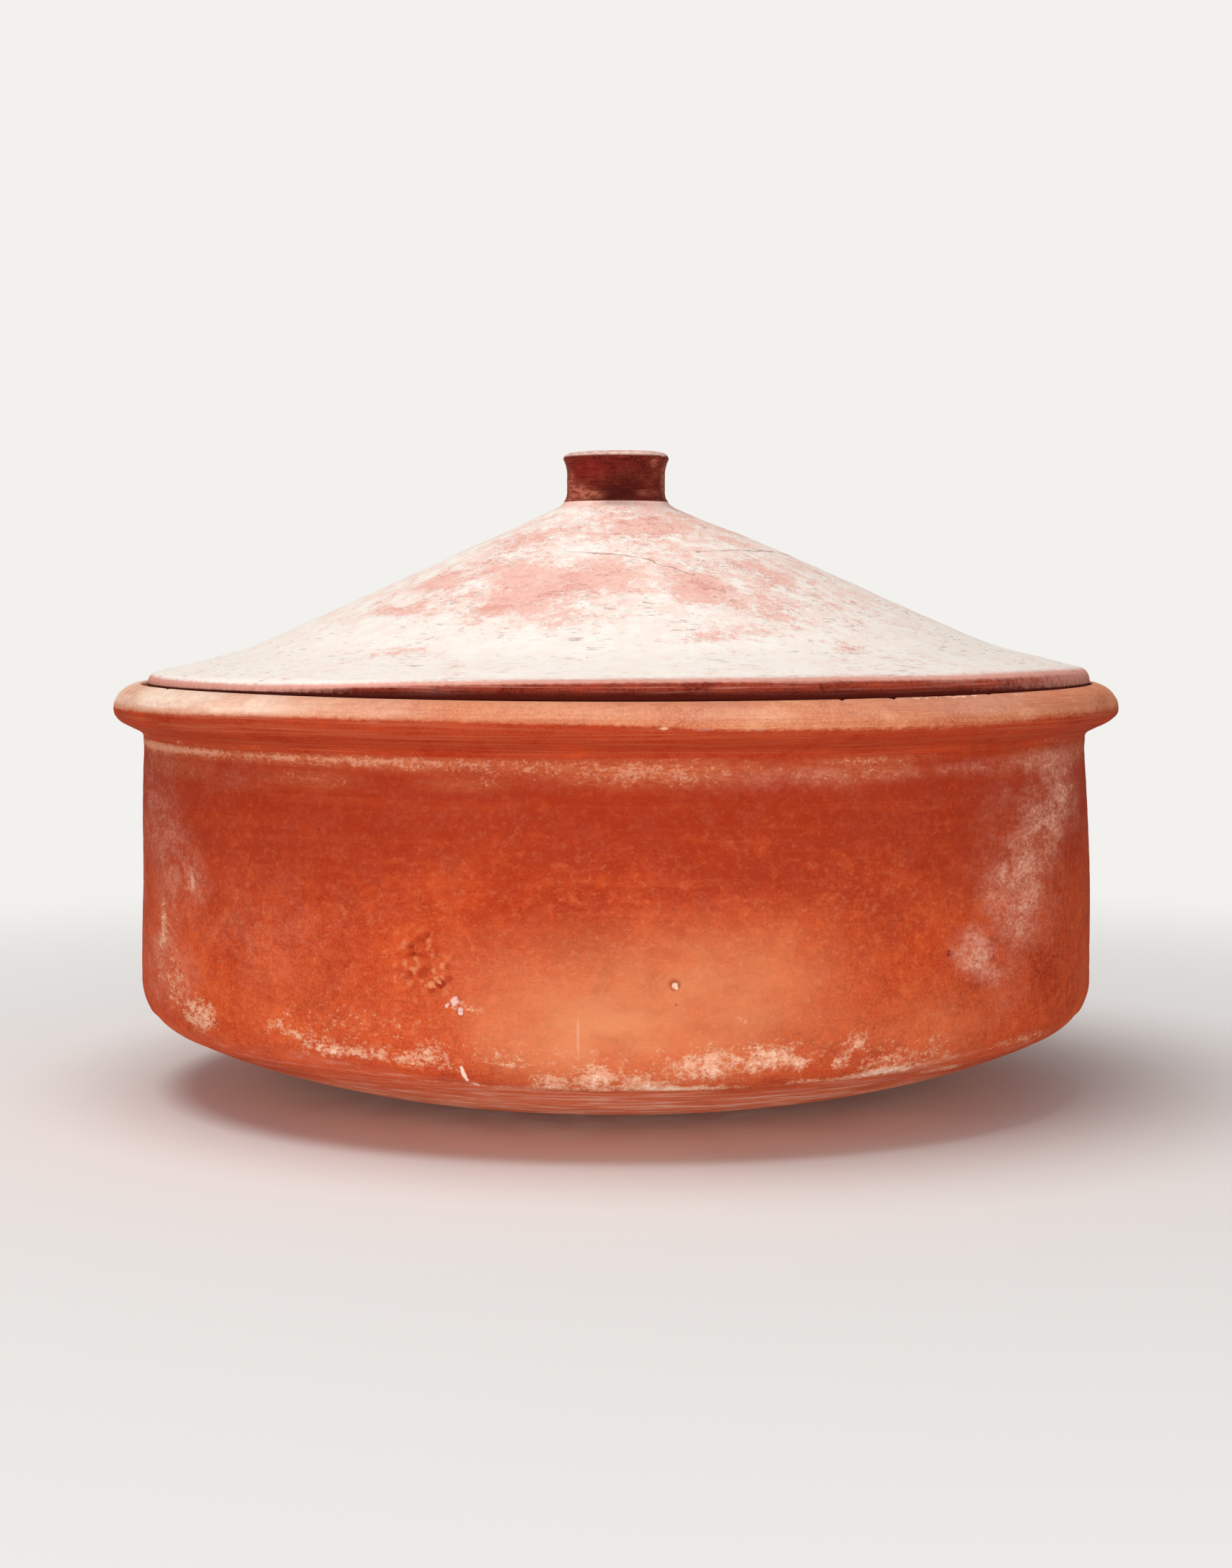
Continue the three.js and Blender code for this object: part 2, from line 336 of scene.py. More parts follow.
class Survey:
    """Where the points of a piece, or the middles of its faces, lie on the wheel."""

    def __init__(self, piece, faces=False):
        parts = piece.data.polygons if faces else piece.data.vertices
        self.place = self.read(parts, "center" if faces else "co") / MM
        self.normal = self.read(parts, "normal")
        self.height = self.place[:, 2]
        self.radius = np.hypot(self.place[:, 0], self.place[:, 1])
        self.angle = np.degrees(np.arctan2(self.place[:, 0], -self.place[:, 1]))

    @staticmethod
    def read(parts, what):
        flat = np.empty(len(parts) * 3, np.float32)
        parts.foreach_get(what, flat)
        return flat.reshape(-1, 3).astype(float)

    def turned(self, angle):
        """Degrees round the pot from an angle, -180 to 180."""
        return (self.angle - angle + 180) % 360 - 180

    def across(self, angle):
        """Millimetres round the pot from an angle."""
        return np.radians(self.turned(angle)) * self.radius

    def distance(self, mark, level):
        """How far each point is from a mark's middle, where 1 is its edge."""
        return np.hypot(self.across(mark.angle) / mark.width, (level - mark.level) / mark.rise)

    def grain(self, size, stretch=1.0, offset=0.0):
        """Smooth noise from -1 to 1, with lumps of a size that are stretched round the pot."""
        squeeze = np.array([1 / (size * stretch), 1 / (size * stretch), 1 / size])
        return np.array([noise.noise(Vector(p)) for p in self.place * squeeze + offset])

    def rings(self, along, width, turns=1.5, offset=0.0):
        """Noise that changes quickly along the clay's section and slowly round the pot."""
        angle = np.radians(self.angle)
        columns = (np.sin(angle) * turns + offset, np.cos(angle) * turns, along / width)
        return np.array([noise.noise(Vector(p)) for p in np.stack(columns, axis=1)])

    def lines(self, along, kinds):
        """Lines of several kinds on top of each other."""
        return sum(kind.height * self.rings(along, kind.width, kind.turns, kind.offset) for kind in kinds)

    def finger_ridges(self, along, height, pitch):
        """Ridges that the thrower's fingers left in a spiral."""
        wave = np.cos(FULL_TURN * along / pitch + np.radians(self.angle))
        return height * (0.5 + 0.5 * wave) ** 1.6


def eased(value, low, high):
    """0 up to low, 1 from high on and smooth between them. A low above high turns it round."""
    share = np.clip((value - low) / (high - low), 0, 1)
    return share * share * (3 - 2 * share)


def dabs(survey, level, marks, core=0.2):
    """Soft marks put on top of each other, each full strength inside its core."""
    total = np.zeros(len(survey.radius))
    for mark in marks:
        total += mark.strength * (1 - eased(survey.distance(mark, level), core, 1))
    return total


def deepest(survey, level, marks, uneven, core, edge):
    """The deepest of some marks at each point. Each is at full depth in its core, and ends at its edge."""
    depth = np.zeros(len(survey.radius))
    for mark in marks:
        depth = np.maximum(depth, mark.strength * eased(survey.distance(mark, level) + uneven, edge, core))
    return depth


def press(piece, heights, direction="NORMAL"):
    """Raises the clay where a height, in millimetres, is above 0 and sinks it where it is below."""
    activate(piece)
    for side in (1, -1):
        reach = float(np.max(side * heights))
        if reach < LEAST_TOUCH:
            continue
        group = piece.vertex_groups.new(name="touch")
        shares = np.clip(side * heights / reach, 0, 1)
        for index in np.nonzero(shares > LEAST_SHARE)[0]:
            group.add([int(index)], float(shares[index]), "REPLACE")
        bpy.ops.object.modifier_add(type="DISPLACE")
        touch = piece.modifiers[-1]
        touch.direction = direction
        touch.mid_level = 0
        touch.strength = side * reach * MM
        touch.vertex_group = group.name
        bpy.ops.object.modifier_apply(modifier=touch.name)
        bpy.ops.object.vertex_group_remove(all=True)


def refine(piece, chosen, cuts):
    """Cuts the chosen faces into finer ones."""
    activate(piece)
    bpy.ops.object.mode_set(mode="EDIT")
    bpy.ops.mesh.select_mode(type="FACE")
    bpy.ops.mesh.select_all(action="DESELECT")
    bpy.ops.object.mode_set(mode="OBJECT")
    piece.data.polygons.foreach_set("select", chosen)
    bpy.ops.object.mode_set(mode="EDIT")
    bpy.ops.mesh.subdivide(number_cuts=cuts)
    bpy.ops.mesh.select_all(action="DESELECT")
    bpy.ops.object.mode_set(mode="OBJECT")


def refine_round(piece, marks, reach, cuts, allowed):
    """Cuts the faces within a reach of each mark into finer ones, where a test on their survey allows it."""
    for mark in marks:
        faces = Survey(piece, faces=True)
        refine(piece, (faces.distance(mark, faces.height) < reach) & allowed(faces), cuts)


def paint(piece, layer, amounts):
    """Keeps an amount for each point of a piece, which its material reads by the layer's name."""
    attribute = piece.data.attributes.new(layer, "FLOAT", "POINT")
    attribute.data.foreach_set("value", np.clip(amounts, 0, 1).astype(np.float32))


def finish_piece(piece, body, material, node=None, sharp=40):
    """Smooths a piece, dresses it, says which body it rides on, and hides the model's part that it stands
    for.
    """
    activate(piece)
    bpy.ops.object.shade_smooth_by_angle(angle=math.radians(sharp))
    piece.data.materials.clear()
    piece.data.materials.append(material)
    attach(piece, body)
    if node:
        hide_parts(node)


# Shader nodes

def add(tree, kind, feeds=None, **settings):
    """Adds a node, sets it up, and gives its inputs plain values or other nodes' outputs."""
    made = tree.nodes.new(kind)
    for name, value in settings.items():
        setattr(made, name, value)
    for name, value in (feeds or {}).items():
        if isinstance(value, bpy.types.NodeSocket):
            tree.links.new(value, made.inputs[name])
        else:
            made.inputs[name].default_value = value
    return made


def result(tree, operation, first, second):
    """What one operation makes of two values, each of them plain or another node's output."""
    return add(tree, "ShaderNodeMath", {0: first, 1: second}, operation=operation).outputs[0]


def sum_of(tree, first, second):
    return result(tree, "ADD", first, second)


def less(tree, first, second):
    return result(tree, "SUBTRACT", first, second)


def times(tree, first, second):
    return result(tree, "MULTIPLY", first, second)


def divided(tree, first, second):
    return result(tree, "DIVIDE", first, second)


def greater_of(tree, first, second):
    return result(tree, "MAXIMUM", first, second)


def vector_result(tree, operation, first, second):
    """What one operation makes of two vectors."""
    return add(tree, "ShaderNodeVectorMath", {0: first, 1: second}, operation=operation).outputs[0]


def scaled(tree, vector, factors):
    """A vector whose three parts are each multiplied by a factor of their own."""
    return vector_result(tree, "MULTIPLY", vector, factors)


def resized(tree, vector, factor):
    """A vector multiplied by one factor, which may be another node's output."""
    return add(tree, "ShaderNodeVectorMath", {0: vector, "Scale": factor}, operation="SCALE").outputs[0]


def length_of(tree, vector):
    return add(tree, "ShaderNodeVectorMath", {0: vector}, operation="LENGTH").outputs[1]


def ramp(tree, value, low, high, start=0.0, end=1.0):
    """Start up to low, end from high on and smooth between them. A low above high turns it round."""
    feeds = {"Value": value, "From Min": low, "From Max": high, "To Min": start, "To Max": end}
    return add(tree, "ShaderNodeMapRange", feeds, interpolation_type="SMOOTHSTEP").outputs[0]


def lumps(tree, vector, detail, roughness, distortion=0.0):
    """Lumpy noise from 0 to 1, whose broadest lumps are about one unit of the vector across."""
    feeds = {"Vector": vector, "Scale": 1.0, "Detail": detail, "Roughness": roughness}
    feeds["Distortion"] = distortion
    return add(tree, "ShaderNodeTexNoise", feeds).outputs[0]


def mixed(tree, factor, low, high):
    """A colour that is the low one at a factor of 0 and the high one at 1."""
    return add(tree, "ShaderNodeMix", {0: factor, 6: low, 7: high}, data_type="RGBA").outputs[2]


def opaque(rgb):
    return (*rgb, 1.0)


def centred(tree, value, reach):
    """Noise moved to lie about 0, and stretched by a reach."""
    return times(tree, less(tree, value, 0.5), reach)


def coats(tree, surface, *layers):
    """Lays tints over a surface one after another. The amount of each says how much of it lies where."""
    for amount, tint in layers:
        surface = mixed(tree, amount, surface, opaque(tint))
    return surface


def layer(tree, name):
    """The amounts that were painted on a piece under a name."""
    return add(tree, "ShaderNodeAttribute", attribute_name=name).outputs["Fac"]


def group(name, inputs, outputs, build):
    """A shader node group with named inputs, each with its default, and named outputs."""
    if name in bpy.data.node_groups:
        return bpy.data.node_groups[name]
    tree = bpy.data.node_groups.new(name, "ShaderNodeTree")
    kinds = {float: "NodeSocketFloat", tuple: "NodeSocketColor", list: "NodeSocketVector"}
    for label, default in inputs.items():
        socket = tree.interface.new_socket(label, in_out="INPUT", socket_type=kinds[type(default)])
        socket.default_value = default
    for label, kind in outputs.items():
        tree.interface.new_socket(label, in_out="OUTPUT", socket_type=kind)
    given = tree.nodes.new("NodeGroupInput").outputs
    results = build(tree, given)
    leaving = tree.nodes.new("NodeGroupOutput")
    for label, socket in results.items():
        tree.links.new(socket, leaving.inputs[label])
    return tree


def use(tree, made, **feeds):
    """Places a group in a tree. A feed's name is the input's, with _ for a space."""
    node = tree.nodes.new("ShaderNodeGroup")
    node.node_tree = made
    for name, value in feeds.items():
        socket = node.inputs[name.replace("_", " ")]
        if isinstance(value, bpy.types.NodeSocket):
            tree.links.new(value, socket)
        else:
            socket.default_value = value
    return node.outputs


FLOAT, COLOUR, VECTOR = "NodeSocketFloat", "NodeSocketColor", "NodeSocketVector"
SHEEN = 0.05  # specular level of unglazed clay
MARK_DEPTH = 6.0  # how far into the clay a placed mark reaches


def wheel_coordinates():
    """Places in millimetres, the direction from the wheel's axis, the radius and the height."""
    def build(tree, given):
        place = resized(tree, given["Position"], 1 / MM)
        flat = scaled(tree, place, (1, 1, 0))
        return {
            "Place": place,
            "Turn": add(tree, "ShaderNodeVectorMath", {0: flat}, operation="NORMALIZE").outputs[0],
            "Radius": length_of(tree, flat),
            "Height": add(tree, "ShaderNodeSeparateXYZ", {0: place}).outputs[2],
        }
    outputs = {"Place": VECTOR, "Turn": VECTOR, "Radius": FLOAT, "Height": FLOAT}
    return group("Wheel Coordinates", {"Position": [0, 0, 0]}, outputs, build)


def throwing_lines():
    """Fine lines round the pot, from 0 to 1."""
    def build(tree, given):
        round_pot = resized(tree, given["Turn"], divided(tree, 100.0, given["Line Length"]))
        level = divided(tree, given["Along"], given["Line Width"])
        up = add(tree, "ShaderNodeCombineXYZ", {2: level}).outputs[0]
        return {"Lines": lumps(tree, vector_result(tree, "ADD", round_pot, up), 3.0, 0.6, 0.25)}
    inputs = {"Turn": [0, 0, 0], "Along": 0.0, "Line Width": 1.0, "Line Length": 20.0}
    return group("Throwing Lines", inputs, {"Lines": FLOAT}, build)


def fired_clay():
    """Clay that fired darker and lighter in patches, with a mottle and a fine grain."""
    def build(tree, given):
        broad = resized(tree, given["Place"], divided(tree, 1.0, given["Patch Size"]))
        patches = lumps(tree, broad, 4.0, 0.55, 0.5)
        mottle = lumps(tree, scaled(tree, given["Place"], (0.28, 0.28, 0.4)), 5.0, 0.65)
        grain = lumps(tree, scaled(tree, given["Place"], (1.3, 1.3, 1.7)), 3.0, 0.6)
        value = sum_of(tree, times(tree, patches, 0.62), times(tree, mottle, 0.38))
        low = mixed(tree, ramp(tree, value, 0.36, 0.5), given["Dark"], given["Mid"])
        high = mixed(tree, ramp(tree, value, 0.5, 0.66), low, given["Light"])
        speckled = mixed(tree, ramp(tree, grain, 0.42, 0.68, 0.0, 0.5), high, given["Light"])
        shaded = mixed(tree, ramp(tree, grain, 0.52, 0.3, 0.0, 0.5), speckled, given["Dark"])
        return {"Colour": shaded, "Grain": grain}
    inputs = {
        "Place": [0, 0, 0], "Light": (0.6, 0.2, 0.1, 1), "Mid": (0.5, 0.1, 0.05, 1),
        "Dark": (0.3, 0.05, 0.02, 1), "Patch Size": 34.0,
    }
    return group("Fired Clay", inputs, {"Colour": COLOUR, "Grain": FLOAT}, build)


def white_bloom():
    """A flaky deposit, its thin veil and its thickest flakes. About half is covered at an amount of 0.5."""
    def build(tree, given):
        parts = []
        layers = ("Patch Size", 0.36, 5.0), ("Flake Size", 0.38, 4.0), ("Speck Size", 0.26, 2.0)
        for label, weight, detail in layers:
            place = resized(tree, given["Place"], divided(tree, 1.0, given[label]))
            parts.append(times(tree, lumps(tree, place, detail, 0.6, 0.3), weight))
        field = sum_of(tree, sum_of(tree, parts[0], parts[1]), parts[2])
        amount = less(tree, times(tree, given["Amount"], 1.3), 0.15)
        value = sum_of(tree, amount, centred(tree, field, 4.2))
        low = less(tree, 0.5, given["Softness"])
        high = sum_of(tree, 0.5, given["Softness"])
        present = ramp(tree, given["Amount"], 0.02, 0.16)
        return {
            "Mask": times(tree, ramp(tree, value, low, high), present),
            "Veil": times(tree, ramp(tree, value, 0.0, 0.9), present),
            "Thick": ramp(tree, value, 0.8, 1.2),
        }
    inputs = {
        "Place": [0, 0, 0], "Amount": 0.5, "Patch Size": 9.0, "Flake Size": 2.4, "Speck Size": 0.8,
        "Softness": 0.1,
    }
    return group("White Bloom", inputs, {"Mask": FLOAT, "Veil": FLOAT, "Thick": FLOAT}, build)


def thin_dust():
    """Dust rubbed into the clay, in clouds of two sizes with a fine grain."""
    def build(tree, given):
        place = given["Place"]
        clouds = lumps(tree, scaled(tree, place, (0.07, 0.07, 0.08)), 6.0, 0.7, 0.6)
        wiped = lumps(tree, scaled(tree, place, (0.22, 0.22, 0.3)), 5.0, 0.7)
        grain = lumps(tree, scaled(tree, place, (0.8, 0.8, 1.0)), 4.0, 0.8)
        cover = times(tree, ramp(tree, clouds, 0.38, 0.6, 0.3, 1.0), ramp(tree, wiped, 0.36, 0.62, 0.5, 1.1))
        fine = times(tree, cover, ramp(tree, grain, 0.4, 0.64, 0.4, 1.1))
        return {"Cover": times(tree, fine, given["Amount"])}
    return group("Thin Dust", {"Place": [0, 0, 0], "Amount": 0.5}, {"Cover": FLOAT}, build)


def grits():
    """Scattered specks, each in a cell of its own, and only in some of the cells."""
    def build(tree, given):
        vector = resized(tree, given["Place"], divided(tree, 1.0, given["Spacing"]))
        cells = add(tree, "ShaderNodeTexVoronoi", {"Vector": vector, "Scale": 1.0, "Randomness": 1.0})
        chance = add(tree, "ShaderNodeSeparateColor", {0: cells.outputs["Color"]}).outputs[0]
        size = ramp(tree, chance, less(tree, 1.0, given["Share"]), 1.0, 0.0, given["Size"])
        edge = times(tree, size, 0.6)
        spot = ramp(tree, cells.outputs["Distance"], size, edge)
        real = result(tree, "GREATER_THAN", size, 0.01)
        return {"Mask": times(tree, spot, real)}
    inputs = {"Place": [0, 0, 0], "Spacing": 4.0, "Share": 0.3, "Size": 0.16}
    return group("Grits", inputs, {"Mask": FLOAT}, build)


def placed_mark():
    """One mark with a ragged edge, at a place, turned to lie on the surface there."""
    def build(tree, given):
        offset = vector_result(tree, "SUBTRACT", given["Place"], given["Centre"])
        level = add(
            tree, "ShaderNodeVectorRotate", {"Vector": offset, "Rotation": given["Rotation"]},
            rotation_type="EULER_XYZ", invert=True,
        ).outputs[0]
        distance = length_of(tree, vector_result(tree, "DIVIDE", level, given["Half Size"]))
        rough = lumps(tree, scaled(tree, given["Place"], (0.9, 0.9, 0.9)), 4.0, 0.65)
        frayed = sum_of(tree, distance, centred(tree, rough, given["Ragged"]))
        return {"Mask": ramp(tree, frayed, 1.0, 0.6)}
    inputs = {
        "Place": [0, 0, 0], "Centre": [0, 0, 0], "Rotation": [0, 0, 0], "Half Size": [1, 1, 1],
        "Ragged": 1.5,
    }
    return group("Placed Mark", inputs, {"Mask": FLOAT}, build)


def wheel_lines(tree, turn, along, width, reach):
    """Throwing lines of a width and of about a length, in millimetres."""
    return use(tree, throwing_lines(), Turn=turn, Along=along, Line_Width=width, Line_Length=reach)["Lines"]


def clay_of(tree, place, light, mid, dark, patch):
    """Fired clay of three of the pot's colours, in patches of a size."""
    return use(
        tree, fired_clay(), Place=place, Light=opaque(light), Mid=opaque(mid), Dark=opaque(dark),
        Patch_Size=patch,
    )


def new_material(name):
    """A material with its shader, its tree and the wheel coordinates of its piece."""
    made = bpy.data.materials.new(name)
    made.use_nodes = True
    tree = made.node_tree
    shader = tree.nodes["Principled BSDF"]
    shader.inputs["Specular IOR Level"].default_value = SHEEN
    position = add(tree, "ShaderNodeTexCoord").outputs["Object"]
    wheel = use(tree, wheel_coordinates(), Position=position)
    return made, tree, shader, wheel


def give(tree, shader, surface, roughness, height, depth):
    """Feeds a shader its colour, its roughness and a bump of a depth in millimetres."""
    bump = add(tree, "ShaderNodeBump", {"Strength": 1.0, "Distance": depth * MM, "Height": height})
    tree.links.new(surface, shader.inputs["Base Color"])
    tree.links.new(roughness, shader.inputs["Roughness"])
    tree.links.new(bump.outputs[0], shader.inputs["Normal"])


def lay_mark(tree, wheel, surface, tint, mark, radius, tilt, ragged):
    """Lays one placed mark of a tint over a surface. Its angle and level say where on the wall it is."""
    angle = math.radians(mark.angle)
    centre = (radius * math.sin(angle), -radius * math.cos(angle), mark.level)
    mask = use(
        tree, placed_mark(), Place=wheel["Place"], Centre=centre, Rotation=(0, math.radians(tilt), angle),
        Half_Size=(mark.width, MARK_DEPTH, mark.rise), Ragged=ragged,
    )["Mask"]
    return coats(tree, surface, (times(tree, mask, mark.strength), tint))


# The bowl

# Deposits along the neck and the corner of the base, thin dust, and the lighter clay low on the front, which
# is partly wear and partly painted bounce light from the floor
NECK_CRUST = [
    Mark(-46, 103.9, 100, 2.1, 0.52), Mark(-20, 103.4, 60, 3.2, 0.36), Mark(-66, 104.2, 50, 2.2, 0.5),
    Mark(4, 101.8, 50, 5.8, 0.44), Mark(-78, 104.2, 50, 3.0, 0.36), Mark(27, 101.4, 32, 5.0, 0.28),
    Mark(30, 104.4, 40, 1.6, 0.24), Mark(56, 102.2, 30, 5.2, 0.30), Mark(72, 102.4, 26, 6.0, 0.32),
    Mark(-62, 99, 40, 5, 0.22), Mark(-34, 98.6, 22, 3.4, 0.26), Mark(-16, 98.4, 20, 3.0, 0.22),
    Mark(120, 104.2, 90, 4.0, 0.42), Mark(-175, 104.2, 100, 4.2, 0.46), Mark(-120, 104.2, 80, 4.0, 0.42),
]
BASE_CRUST = [
    Mark(-54, 31.2, 14, 8, 0.62), Mark(-51, 31.8, 6, 5.0, 0.24), Mark(-60, 38, 10, 14, 0.34),
    Mark(-64, 52, 8, 18, 0.36), Mark(-39.5, 33.0, 5, 2.6, 0.42), Mark(-37.1, 31.2, 6, 2.8, 0.42),
    Mark(-34.6, 28.2, 10, 4.0, 0.40), Mark(-31.6, 27.4, 9, 3.4, 0.42), Mark(-28.2, 27.2, 9, 3.4, 0.38),
    Mark(-25.0, 26.8, 9, 3.4, 0.34), Mark(-21.6, 26.0, 8, 4.0, 0.36), Mark(-19.8, 28.2, 7, 5.0, 0.34),
    Mark(-17.8, 25.4, 5, 3.0, 0.40), Mark(-13, 29.8, 10, 6.4, 0.14), Mark(-11.1, 27.1, 7, 5.0, 0.20),
    Mark(-7.0, 20.9, 8, 4.2, 0.62), Mark(-2.1, 22.2, 8, 6.0, 0.70), Mark(1.9, 21.2, 7, 4.6, 0.56),
    Mark(4.6, 19.8, 7, 3.2, 0.58), Mark(-16.2, 41.6, 4.4, 4.0, 0.34), Mark(-14.6, 41.0, 4.0, 2.0, 0.26),
    Mark(8.2, 25.4, 14, 8.0, 0.34), Mark(12.4, 26.6, 16, 9.0, 0.34), Mark(16.2, 28.2, 9, 7.4, 0.40),
    Mark(19.4, 27.4, 7, 7.0, 0.36), Mark(19.9, 24.6, 3.4, 2.4, 0.4), Mark(8.3, 18.8, 16, 2.0, 0.56),
    Mark(21.3, 19.8, 9, 2.0, 0.46), Mark(24.5, 25.1, 4, 3.0, 0.44), Mark(25.9, 30.7, 6, 5.0, 0.34),
    Mark(13.3, 37.7, 2.6, 3.0, 0.34), Mark(31.8, 20.3, 16, 3.0, 0.78), Mark(43, 17.6, 18, 2.4, 0.62),
    Mark(54, 24, 26, 3.4, 0.36), Mark(34, 23, 26, 5.0, 0.28), Mark(26, 19, 14, 2.4, 0.46),
    Mark(-3, 18.6, 90, 1.8, 0.36), Mark(-30, 33, 60, 13, 0.17), Mark(0, 27, 60, 9, 0.20),
    Mark(32, 27, 50, 9, 0.20),
]
BACK_CRUST = [
    Mark(
        80 + 16.5 * i, 23 + 4 * math.sin(2.3 * i), 16 + 8 * math.cos(1.7 * i), 6 + 2 * math.sin(3.1 * i),
        0.46 + 0.14 * math.sin(4.7 * i),
    )
    for i in range(13)
]
WALL_HAZE = [
    Mark(-66, 44, 24, 22, 0.50), Mark(-62, 70, 26, 26, 0.42), Mark(-70, 90, 32, 24, 0.34),
    Mark(-55, 67, 12, 12, 0.42), Mark(-57, 41, 14, 14, 0.34), Mark(-40, 56, 40, 24, 0.12),
    Mark(-78, 60, 20, 44, 0.20), Mark(-47, 98, 30, 6, 0.14), Mark(50.5, 64, 16, 18, 1.10),
    Mark(47.5, 67, 14, 9, 0.90), Mark(42, 52, 12, 9, 1.00), Mark(45, 47, 13, 7, 0.6),
    Mark(57, 82, 18, 15, 0.90), Mark(61, 92, 16, 12, 0.70), Mark(53, 74, 34, 34, 0.42),
    Mark(66, 90, 18, 16, 0.50), Mark(49, 42, 16, 10, 0.24), Mark(50, 100.8, 50, 3.4, 0.50),
    Mark(27, 100.6, 40, 2.8, 0.30), Mark(62, 101, 30, 7, 0.45), Mark(20, 99.6, 44, 5.0, 0.2),
    Mark(115, 60, 50, 30, 0.65), Mark(160, 84, 46, 20, 0.70), Mark(-160, 50, 50, 26, 0.65),
    Mark(-118, 78, 40, 28, 0.7),
]
WORN_AND_BOUNCE_LIT_CLAY = [
    Mark(1, 38, 78, 34, 0.64), Mark(-3, 33, 44, 18, 0.22), Mark(14, 50, 48, 26, 0.28),
    Mark(-34, 34, 42, 22, 0.22), Mark(36, 32, 46, 18, 0.26), Mark(150, 40, 60, 26, 0.5),
    Mark(-135, 38, 50, 24, 0.45),
]
# A flaked scar, and the deeper gouges in it, whose strength is a share of the gouge depth below
SCAR = Mark(-20.4, 51.5, 11.5, 12.0, 1)
GOUGES = [
    Mark(-22.0, 56.8, 1.6, 1.2, 0.7), Mark(-21.1, 58.0, 1.7, 1.1, 0.8), Mark(-20.1, 59.2, 1.8, 1.0, 0.6),
    Mark(-23.4, 54.0, 1.8, 1.0, 0.5), Mark(-21.6, 54.2, 2.4, 0.9, 0.7), Mark(-20.4, 53.8, 1.6, 0.8, 0.5),
    Mark(-23.2, 50.4, 1.4, 1.6, 0.5), Mark(-22.3, 49.0, 1.6, 1.3, 0.7), Mark(-19.5, 45.4, 1.6, 0.9, 0.8),
    Mark(-18.4, 46.6, 1.5, 1.2, 0.9), Mark(-17.6, 48.2, 1.2, 1.4, 0.8), Mark(-17.8, 50.8, 1.0, 1.8, 0.5),
]
# Stones in the wall: where they are, how wide, how tall, and how deep their craters are
GRIT_HOLES = [
    Mark(-16.8, 42.4, 1.9, 2.2, 0.5), Mark(-16.4, 39.8, 1.3, 1.4, 0.4), Mark(-19.4, 46.8, 1.8, 1.6, 0.4),
    Mark(6.0, 47.6, 1.8, 1.8, 0.9), Mark(4.6, 54.1, 0.8, 0.8, 0.3), Mark(38.5, 52.1, 1.2, 0.9, 1.6),
    Mark(13.5, 95.6, 1.6, 0.6, 0.4), Mark(-66.0, 44.0, 1.4, 1.2, 0.5),
]

# How deep a gouge of full strength is, how deep the small pits and the scar as a whole are, and how high the
# crumbs in it stand
GOUGE_DEPTH, PIT_DEPTH, SCAR_DEPTH, CRUMB_HEIGHT = 0.9, 0.45, 0.12, 0.3
# Lines on the wall, on the trimmed base and inside. The first are sunk by a little, and the wall wanders in
# from true, so that all of it stays inside the wall's radius.
BOWL_LINES = [Lines(0.07, 1.9, 1.0, 4), Lines(0.05, 5.0, 1.4, 9)]
TRIM_LINES = [Lines(0.05, 2.2, 1.0, 2)]
INNER_LINES = [Lines(0.04, 1.4, 1.5, 0)]
BOWL_SUNK = 0.1
WALL_WANDER = 0.22
# Radii between which the trimming fades out towards the stand
STAND_TRUE, BASE_TRIMMED = 58, 80
# The button of clay in the middle of the floor: its height, and the radii between which it falls away
BUTTON_HEIGHT = 1.1
BUTTON_TOP, BUTTON_FOOT = 2, 11
# Where round the pot the trimmed line is lowest, its height there, and how far it climbs at the sides
TRIM_FRONT = 5
TRIM_LINE = 17.6
TRIM_CLIMB = 7.5
# Between which heights the pot leans over, and how far to the right it does
LEAN = [(30, 60, 0.15), (62, 100, -0.68)]
# Short marks that were struck or smeared on the wall: the mark, its colour, the radius that it lies at,
# its tilt in degrees and how ragged its edge is
STREAKS = [
    (Mark(-16.5, 23.2, 0.7, 3.6, 0.95), "crust_bright", 138.0, -4, 1.4),
    (Mark(-15.9, 19.6, 1.2, 0.8, 0.8), "crust_bright", 135.4, 0, 1.4),
    (Mark(-3.9, 34.0, 0.5, 6.5, 0.25), "crust", 142.6, 0, 1.2),
    (Mark(-55.4, 67.8, 1.4, 2.8, 0.5), "crust", 142.4, 0, 2.2),
]


def bowl_face(sizes, depth, side, corner, gap):
    """One face of the bowl from the axis out to the top of the wall."""
    stand = sizes.stand_radius
    base_arc = sizes.base_arc - depth
    corner_centre = side - corner
    corner_drop = math.sqrt((base_arc - corner) ** 2 - (corner_centre - stand) ** 2)
    corner_height = sizes.base_arc - corner_drop
    meeting = math.atan2(corner_centre - stand, corner_drop)
    climb = sizes.mouth_height - corner_height
    return outline(
        gap,
        straight(point(0, depth), point(stand, depth)),
        arc(point(stand, sizes.base_arc), base_arc, 0, meeting),
        arc(point(corner_centre, corner_height), corner, meeting, math.pi / 2),
        lambda share: point(side - sizes.neck_draw * share ** 2, corner_height + climb * share),
    )


def sideways(height):
    """How far the pot leans to the right at a height, in millimetres, as it left the wheel."""
    return sum(reach * eased(height, low, high) for low, high, reach in LEAN)


def below_trim(survey, blur=0.6, rough=0.0):
    """1 below the line that the base was trimmed to, which runs higher at the sides than at the front."""
    aside = eased(np.abs(survey.turned(TRIM_FRONT)), 8, 46)
    line = TRIM_LINE + TRIM_CLIMB * aside + rough * survey.grain(5.0, 1, 3)
    return eased(survey.height, line + blur, line - blur)


